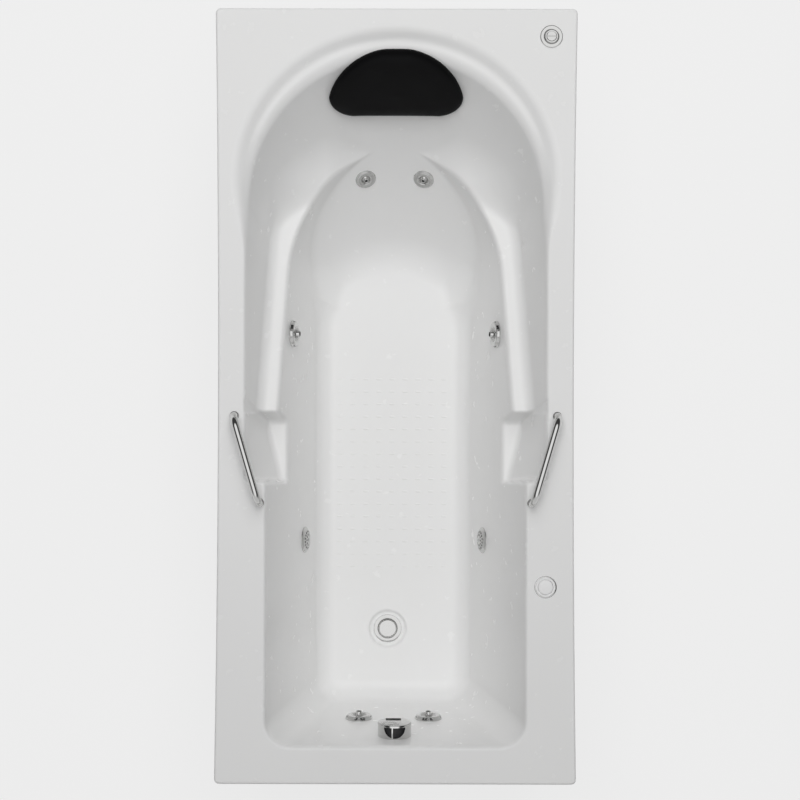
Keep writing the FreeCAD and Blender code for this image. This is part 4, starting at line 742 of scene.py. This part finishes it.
# thickened pads on the back of the sheet, where the lock nuts sit: radius of the hole and of the pad
sheetPads = {
    "side_left": (16.8, 26.3), "side_right": (16.8, 26.3), "foot_left": (16.8, 26.3), "foot_right": (16.8, 26.3),
    "back_left": (13.2, 22.8), "back_right": (13.2, 22.8), "suction_left": (22, 30), "suction_right": (22, 30),
    "overflow": (19, 36),
}
for name, (hole, reach) in sheetPads.items():
    lathe("sheetPad_" + name, [(hole, -4.4), (reach, -4.4), (reach, -6, 0.6), (reach - 1, -7, 0.4), (hole, -7)],
          wallPlace(name), backing, "tub")


# suction covers: a dome with two rings of round holes and a screw in the middle
cover = {"radius": 27, "height": 9, "hole": 2.2, "holeRings": ((0.66, 16), (0.42, 10))}
for side in ("left", "right"):
    place = wallPlace("suction_" + side)
    r, h = cover["radius"], cover["height"]
    dome = lathe("suctionCover_" + side, [
        (2.7, h), (r * 0.45, h - 0.6, 5), (r * 0.85, h * 0.55, 4), (r, 1.5, 0.8), (r, -0.2), (r - 2.2, -0.2),
        (r * 0.8, h * 0.55 - 2, 3), (r * 0.42, h - 2.6, 4), (2.7, h - 2)], place, chrome, "tub")
    cutters = []
    for share, count in cover["holeRings"]:
        for k in range(count):
            a = 2 * math.pi * (k + 0.5) / count
            x, y = r * share * math.cos(a), r * share * math.sin(a)
            cutters.append(pinCutter(place, (x, y, -1), (x, y, h + 2), cover["hole"], 12))
    cutHoles(dome, cutters)
    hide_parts("suction_cover_" + side)
print("suction covers ready")


# overflow cap: a chrome drum with a half round inlet on its upper side that one rib parts,
# and a slot low in its face, which is given as left, right, low and high
capSize = {"radius": 33, "length": 28, "inlet": 21, "inletSetback": 5, "ribFrom": 3.6, "ribTo": 6,
           "slot": (-13, 17, -24.42, -7.92)}
place = wallPlace("overflow")
r, l = capSize["radius"], capSize["length"]
inletReach, inletLine = capSize["inlet"], capSize["length"] - capSize["inletSetback"]
capDrum = lathe("overflowCap", [
    (20, -0.2), (r, -0.2, 0.6), (r, l, 2.4), (0, l), (0, l - 3), (r - 3, l - 3, 1), (r - 3, 3), (20, 3)],
    place, chrome, "tub", around=96)
outline = []
for k in range(17):
    a = math.pi * k / 16
    outline.append((inletReach * math.cos(a), inletLine - inletReach * math.sin(a)))


def inletCutter(low, high):
    share = [p for p in outline if low <= p[0] <= high]
    if share[0][0] < high - 0.01:
        share.insert(0, (high, inletLine - math.sqrt(inletReach ** 2 - high ** 2)))
    if share[-1][0] > low + 0.01:
        share.append((low, inletLine - math.sqrt(inletReach ** 2 - low ** 2)))
    if high < inletReach:
        share.insert(0, (high, inletLine))
    if low > -inletReach:
        share.append((low, inletLine))
    points = [place @ (Vector((x, y, z)) * mm) for y in (8, r + 4) for x, z in share]
    n = len(share)
    faces = [tuple(reversed(range(n))), tuple(range(n, 2 * n))]
    faces += [(k, (k + 1) % n, (k + 1) % n + n, k + n) for k in range(n)]
    return cutterFrom("inletCutter", points, faces)


slotLeft, slotRight, slotLow, slotHigh = capSize["slot"]
slotCorners = boxCorners(slotLeft, slotRight, slotLow, slotHigh, l - 4.5, l + 2)
slotCutter = cutterFrom("slotCutter", [place @ (Vector(p) * mm) for p in slotCorners], boxFaces)
cutHoles(capDrum, [inletCutter(-inletReach, capSize["ribFrom"]), inletCutter(capSize["ribTo"], inletReach),
                   slotCutter])
# a thin black sheet lining the drum inside: painted shade for the dark hollow seen through the inlet and slot
capShadeLining = lathe("overflowCapPaintedShade", [
    (20.4, 3.1), (r - 3.1, 3.1, 1), (r - 3.1, l - 3.1, 1), (20.4, l - 3.1), (20.4, l - 3.6), (r - 3.6, l - 3.6, 1),
    (r - 3.6, 3.6, 1), (20.4, 3.6)], place, blackPlastic, "tub")
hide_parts("overflow_cap")
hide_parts("overflow_cap")
print("overflow ready")


# drain: a low turned flange whose throat holds a hub on three spokes, and a domed plug on a stem
drain = {"spokes": 3, "spokeFrom": 7, "spokeTo": 19, "spokeHalf": 1.5}
place = wallPlace("drain")
flange = lathe("drainFlange", [
    (18, -10), (21, -10), (21, -5), (23, -5), (23, -0.1), (30, -0.1, 0.2), (29.6, 0.5, 0.3), (27, 1.1, 1),
    (22, 1.3, 0.8), (18, -1, 0.4)], place, chrome, "tub")
hub = lathe("drainHub", [(3.3, -10), (8, -10), (8, -6, 0.6), (3.3, -6)], place, chrome, "tub")
for arm in range(drain["spokes"]):
    turn = place @ Matrix.Rotation(2 * math.pi * arm / drain["spokes"], 4, "Z")
    ends = boxCorners(drain["spokeFrom"], drain["spokeTo"], -drain["spokeHalf"], drain["spokeHalf"], -10, -6)
    spoke = meshObject("drainSpoke" + str(arm), [turn @ (Vector(p) * mm) for p in ends], boxFaces, chrome, "tub", 30)
    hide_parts("drain_flange")
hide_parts("drain_flange")
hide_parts("drain_flange")
plug = lathe("drainPlug", [
    (0, -23), (3, -23), (3, -0.925), (17.6, -0.925, 0.3), (20, 0.875, 0.3), (19.6, 2.4, 0.6), (17.6, 3.8, 0.8),
    (0, 4.8)], place, chrome, "plug", closed=False)
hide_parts("drain_plug")


# grab handles: one bent tube each, with a turned flange at both feet
handle = {"feet": {"Head": (312, -38), "Foot": (263, -206)}, "radius": 7.2, "rise": 42, "bend": 24,
          "flange": 9, "sunk": 19}


def bentPath(points, bend, steps=10):
    path = [points[0]]
    for before, corner, after in zip(points, points[1:], points[2:]):
        back, on = (before - corner).normalized(), (after - corner).normalized()
        half = back.angle(on) / 2
        reach = bend / math.tan(half)
        centre = corner + (back + on).normalized() * (bend / math.sin(half))
        start, end = corner + back * reach - centre, corner + on * reach - centre
        for k in range(steps + 1):
            path.append(centre + start.slerp(end, k / steps, start).normalized() * bend)
    path.append(points[-1])
    return path


def tubeMesh(name, path, radius, around=32):
    points, faces = [], []
    side = (path[1] - path[0]).orthogonal().normalized()
    for i, p in enumerate(path):
        way = (path[min(i + 1, len(path) - 1)] - path[max(i - 1, 0)]).normalized()
        side = (side - way * side.dot(way)).normalized()
        up = way.cross(side)
        for k in range(around):
            a = 2 * math.pi * k / around
            points.append((p + (side * math.cos(a) + up * math.sin(a)) * radius) * mm)
    for i in range(len(path) - 1):
        for k in range(around):
            n = (k + 1) % around
            faces.append((i * around + k, i * around + n, (i + 1) * around + n, (i + 1) * around + k))
    thing = meshObject(name, points, faces, chrome, "tub", 60)
    return thing


for side, label in ((-1, "left"), (1, "right")):
    feet = [Vector((side * x, y, tub["height"])) for x, y in handle["feet"].values()]
    rise, sunk = Vector((0, 0, handle["rise"])), Vector((0, 0, handle["sunk"]))
    path = bentPath([feet[0] - sunk, feet[0] + rise, feet[1] + rise, feet[1] - sunk], handle["bend"])
    path[0], path[-1] = feet[0], feet[1]
    bar = tubeMesh("grabHandle_" + label, path, handle["radius"])
    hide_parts("grab_handle_" + label)
    for end, foot in zip(handle["feet"], feet):
        wide, low = handle["flange"], -handle["sunk"]
        lathe("handleFlange" + end + "_" + label, [
            (3, low), (4, low), (4, 0), (wide, 0, 0.3), (wide, 2.6, 0.9), (7.3, 3.5, 0.4), (3, 3.5)],
            Matrix.Translation(foot * mm), chrome, "tub")
print("handles ready")


# air control: a chrome ring on the deck round a knob with a low grip across it
airControl = {"ring": 22, "knob": 13, "gripHalf": 9.5, "gripThick": 2.4, "gripSoft": 0.5}
place = wallPlace("air")
ring, knob = airControl["ring"], airControl["knob"]
airRing = lathe("airControlRing", [
    (3.5, -62), (6, -62), (6, -40), (17.7, -40), (17.7, 0), (ring, 0, 0.3), (ring, 1.6, 0.6), (ring - 1.2, 3, 0.8),
    (15.5, 3.3, 0.8), (knob + 0.3, 2.4, 0.4), (knob + 0.3, 1), (4.05, 1), (4.05, -3), (14, -3), (14, -37),
    (3.5, -37)], place, chrome, "tub")
airKnob = lathe("airControlKnob", [
    (0, -22), (4, -22), (4, 1.3), (knob, 1.3, 0.3), (knob, 4.4, 0.8), (knob - 1, 5, 0.4), (10, 5, 0.6),
    (9, 4.2, 0.4), (0, 4.2)], place, chrome, "air_knob", closed=False)
reach, thick = airControl["gripHalf"], airControl["gripThick"] / 2
gripPoints = boxCorners(-reach, reach, -thick, thick, 3.9, 5.6)
knobGrip = meshObject("airControlKnobGrip", [place @ (Vector(p) * mm) for p in gripPoints], boxFaces,
                      chrome, "air_knob", 30)
soften = knobGrip.modifiers.new("soften", "BEVEL")
soften.width = airControl["gripSoft"] * mm
soften.segments = 2
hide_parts("air_control_body")
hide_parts("air_control_knob")

# start button: a white cap in a white ring with a thin chrome edge, over a rubber bellows that the pressed cap
# squeezes; here the bellows keeps one shape
startButton = {"cap": 14.5, "ring": 18.9, "trim": 21.5, "folds": 4, "foldStep": 7.6, "foldOut": 11.1,
               "foldIn": 8, "bellowsFoot": -33, "bellowsTop": -2.3}
place = wallPlace("button")
cap, ring, trim = startButton["cap"], startButton["ring"], startButton["trim"]
foot, top = startButton["bellowsFoot"], startButton["bellowsTop"]
buttonRing = lathe("startButtonBody", [
    (2.5, -36), (2.5, -48), (4, -48), (4, -36), (17.2, -36), (17.2, 0), (ring, 0.1), (ring, 2.0, 0.3),
    (ring - 0.7, 2.4, 0.5), (cap + 0.3, 2.4, 0.5), (cap + 0.3, foot), (2.5, foot)],
    place, whitePlastic, "tub")
buttonTrim = lathe("startButtonTrim", [
    (17.4, -0.1), (trim, -0.1, 0.2), (trim, 0.5, 0.3), (trim - 2.5, 1.3, 0.3), (ring + 0.05, 0.1)],
    place, chrome, "tub")
button = lathe("startButton", [
    (0, 2.9), (cap - 1.1, 2.5, 2), (cap, 1.2, 0.8), (cap, -12), (cap - 2.5, -12), (cap - 2.5, -2), (0, -2)],
    place, whitePlastic, "button", closed=False)
bellowsCorners = [(0, foot), (10.5, foot)]
for k in range(startButton["folds"]):
    low = foot + startButton["foldStep"] * k
    bellowsCorners += [(startButton["foldOut"], low + 1.9), (startButton["foldIn"], low + 5.7)]
bellowsCorners += [(startButton["foldIn"], top), (0, top)]
bellows = lathe("startButtonBellows", bellowsCorners, place, blackRubber, "tub", closed=False)
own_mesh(bellows)
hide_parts("start_button_bellows")
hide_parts("start_button_body")
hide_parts("start_button_body")
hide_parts("start_button")
print("controls ready")


# head pillow: a crowned cushion whose back follows the backrest and whose sides wrap with it
pillow = {"height": 158, "depth": 65, "thick": 40, "gap": 0.8, "topHalf": 27, "shoulder": (95, 45.5),
          "widest": (132.5, -22), "corner": (122, -55), "footHalf": 92, "footSag": 4, "middle": -14}


def arcThrough(a, b, c, steps):
    a, b, c = Vector(a), Vector(b), Vector(c)
    d = 2 * (a.x * (b.y - c.y) + b.x * (c.y - a.y) + c.x * (a.y - b.y))
    squares = [p.length_squared for p in (a, b, c)]
    ux = (squares[0] * (b.y - c.y) + squares[1] * (c.y - a.y) + squares[2] * (a.y - b.y)) / d
    uy = (squares[0] * (c.x - b.x) + squares[1] * (a.x - c.x) + squares[2] * (b.x - a.x)) / d
    start, middle, end = (math.atan2(p.y - uy, p.x - ux) for p in (a, b, c))
    sweep = (end - start) % (2 * math.pi)
    if (middle - start) % (2 * math.pi) > sweep:
        sweep -= 2 * math.pi
    radius = (a - Vector((ux, uy))).length
    angles = [start + sweep * k / steps for k in range(steps + 1)]
    return [Vector((ux + radius * math.cos(t), uy + radius * math.sin(t))) for t in angles]


def makePillow():
    q = pillow
    half, lean, end = bowlPlan(q["depth"])
    seat = Vector((0, end + half, tub["height"] - q["depth"]))
    normal = Vector((0, -1, lean)).normalized()
    up = Vector((0, lean, 1)).normalized()
    top = q["height"] / 2
    right = [Vector((q["topHalf"] * k / 6, top)) for k in range(6)]
    right += arcThrough((q["topHalf"], top), q["shoulder"], q["widest"], 22)
    foot = q["footSag"] - top
    right += arcThrough(q["widest"], q["corner"], (q["footHalf"], foot), 14)[1:]
    for k in range(1, 11):
        side = 1 - k / 10
        right.append(Vector((q["footHalf"] * side, foot - q["footSag"] * (1 - side ** 2))))
    outline = right + [Vector((-p.x, p.y)) for p in reversed(right[1:-1])]
    count = len(outline)
    centre = Vector((0, q["middle"]))

    def lifted(u, v, w):
        base = seat + up * v + normal * w
        return Vector((u, base.y, base.z))

    def wallGap(u, v):
        low, high = -60.0, 70.0
        for _ in range(20):
            middle = (low + high) / 2
            p = lifted(u, v, middle)
            d = float(bowlDistance(np.array(p.x), np.array(p.y), np.array(tub["height"] - p.z)))
            low, high = (middle, high) if d > -q["gap"] else (low, middle)
        return high

    # front rings from the middle out to the rim, round the edge, then the back rings to the middle
    front = [0.12 + 0.88 * (1 - (1 - k / 13) ** 1.25) for k in range(14)]
    rings = [(s, (1 - s ** 7) ** 0.5 * 0.66 + 0.34) for s in front]
    rings += [(0.995, 0.18), (0.975, 0.05), (0.94, 0.0), (0.7, 0.0), (0.35, 0.0)]
    points = [lifted(centre.x, centre.y, wallGap(centre.x, centre.y) + q["thick"]) * mm]
    for share, fill in rings:
        for p in outline:
            spot = centre + (p - centre) * share
            gap = wallGap(spot.x, spot.y)
            crown = (q["thick"] - 0.72 * max(gap, 0)) * (1 - 0.10 * ((spot.y - q["middle"]) / 80) ** 2)
            low = max(-p.y / top, 0) * share ** 4    # the neck edge at the foot is the fullest
            points.append(lifted(spot.x, spot.y, gap + crown * (fill + 0.25 * low * fill * (1 - fill))) * mm)
    points.append(lifted(centre.x, centre.y, wallGap(centre.x, centre.y)) * mm)
    faces = [(0, 1 + (k + 1) % count, 1 + k) for k in range(count)]
    for ring in range(len(rings) - 1):
        for k in range(count):
            a, b = 1 + ring * count + k, 1 + ring * count + (k + 1) % count
            faces.append((a, b, b + count, a + count))
    last = 1 + (len(rings) - 1) * count
    faces += [(last + k, last + (k + 1) % count, len(points) - 1) for k in range(count)]
    cushion = meshObject("headPillow", points, faces, pillowSkin, "tub")
    smooth = cushion.modifiers.new("smooth", "SUBSURF")
    smooth.levels = 1
    smooth.render_levels = 1
    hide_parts("head_pillow")


makePillow()
print("pillow ready")

# plain pale floor; the camera and mirrors see it as the studio's white
floorMesh = bpy.data.meshes.new("studioFloor")
floorMesh.from_pydata([(-12, -12, 0), (12, -12, 0), (12, 12, 0), (-12, 12, 0)], [], [(0, 1, 2, 3)])
studioFloor = bpy.data.objects.new("studioFloor", floorMesh)
scene.collection.objects.link(studioFloor)
floorMaterial, tree, shader, place = newMaterial("paperBackdrop")
setShader(shader, {"Base Color": linear("#E6E6E6"), "Roughness": 0.9})
path = addNode(tree, "ShaderNodeLightPath").outputs
seen = addNode(tree, "ShaderNodeMath", links={0: path["Is Camera Ray"], 1: path["Is Glossy Ray"]},
               operation="MAXIMUM")
seen = addNode(tree, "ShaderNodeMath", links={0: seen.outputs[0], 1: path["Is Transmission Ray"]},
               operation="MAXIMUM")
share = addNode(tree, "ShaderNodeMath", {1: 0.8}, {0: seen.outputs[0]}, operation="MULTIPLY")
glow = addNode(tree, "ShaderNodeEmission", {"Color": (1, 1, 1, 1), "Strength": 0.95})
mixed = addNode(tree, "ShaderNodeMixShader", links={0: share.outputs[0], 1: shader.outputs[0], 2: glow.outputs[0]})
tree.links.new(mixed.outputs[0], tree.nodes["Material Output"].inputs["Surface"])
floorMesh.materials.append(floorMaterial)

# the room: a wide pale ceiling, darker walls towards the head, paper low down and at the foot
studio = {"fill": 0.14, "dome": 0.25, "top": 1.1, "wall": 0.06, "footWall": 0.7, "paper": 0.86,
          "keyPower": 63, "keySize": (2.2, 2.6), "keyPlace": (-0.05, 0.8, 4.35),
          "headPower": 29, "headSize": (2.6, 1.6), "headPlace": (0.0, 3.0, 3.7)}
world = bpy.data.worlds.new("studioWorld")
scene.world = world
world.use_nodes = True
tree = world.node_tree
background = tree.nodes["Background"]
way = addNode(tree, "ShaderNodeTexCoord").outputs["Generated"]
parts = addNode(tree, "ShaderNodeSeparateXYZ", links={"Vector": way}).outputs
fill = addNode(tree, "ShaderNodeMapRange", {"From Min": 0.40, "From Max": 0.60, "To Min": studio["fill"],
               "To Max": studio["dome"]}, {"Value": parts["Z"]}, interpolation_type="SMOOTHSTEP", name="fillDome")
walls = addNode(tree, "ShaderNodeMapRange", {"From Min": -0.65, "From Max": -0.20, "To Min": studio["footWall"],
                "To Max": studio["wall"]}, {"Value": parts["Y"]}, interpolation_type="SMOOTHSTEP", name="wallBand")
ceiling = addNode(tree, "ShaderNodeMapRange", {"From Min": 0.76, "From Max": 0.88, "To Max": studio["top"]},
                  {"Value": parts["Z"], "To Min": walls.outputs[0]}, interpolation_type="SMOOTHSTEP", name="ceiling")
mirror = addNode(tree, "ShaderNodeMapRange", {"From Min": 0.0, "From Max": 0.12, "To Min": studio["paper"]},
                 {"Value": parts["Z"], "To Max": ceiling.outputs[0]}, interpolation_type="SMOOTHSTEP",
                 name="paperLow")
path = addNode(tree, "ShaderNodeLightPath").outputs
straight = addNode(tree, "ShaderNodeMath", links={0: path["Is Camera Ray"], 1: path["Is Transmission Ray"]},
                   operation="MAXIMUM")
lit = addNode(tree, "ShaderNodeMix", links={0: path["Is Glossy Ray"], 2: fill.outputs[0], 3: mirror.outputs[0]},
              name="litBy")
shown = addNode(tree, "ShaderNodeMix", {3: studio["paper"]}, {0: straight.outputs[0], 2: lit.outputs[0]})
tree.links.new(shown.outputs[0], background.inputs["Strength"])
background.inputs["Color"].default_value = (1, 1, 1, 1)


def addSoftbox(name, power, size, place, target):
    data = bpy.data.lights.new(name, "AREA")
    data.shape = "RECTANGLE"
    data.size, data.size_y = size
    data.energy = power
    box = bpy.data.objects.new(name, data)
    box.location = place
    box.rotation_euler = (Vector(target) - Vector(place)).to_track_quat("-Z", "Y").to_euler()
    box.visible_camera = False
    box.visible_glossy = False    # mirrors see the room's ceiling instead
    scene.collection.objects.link(box)


addSoftbox("overheadSoftbox", studio["keyPower"], studio["keySize"], studio["keyPlace"],
           (studio["keyPlace"][0], studio["keyPlace"][1], 0))
addSoftbox("headSoftbox", studio["headPower"], studio["headSize"], studio["headPlace"], (0, 0, 0.3))
scene.view_settings.view_transform = "Standard"
print("studio ready")
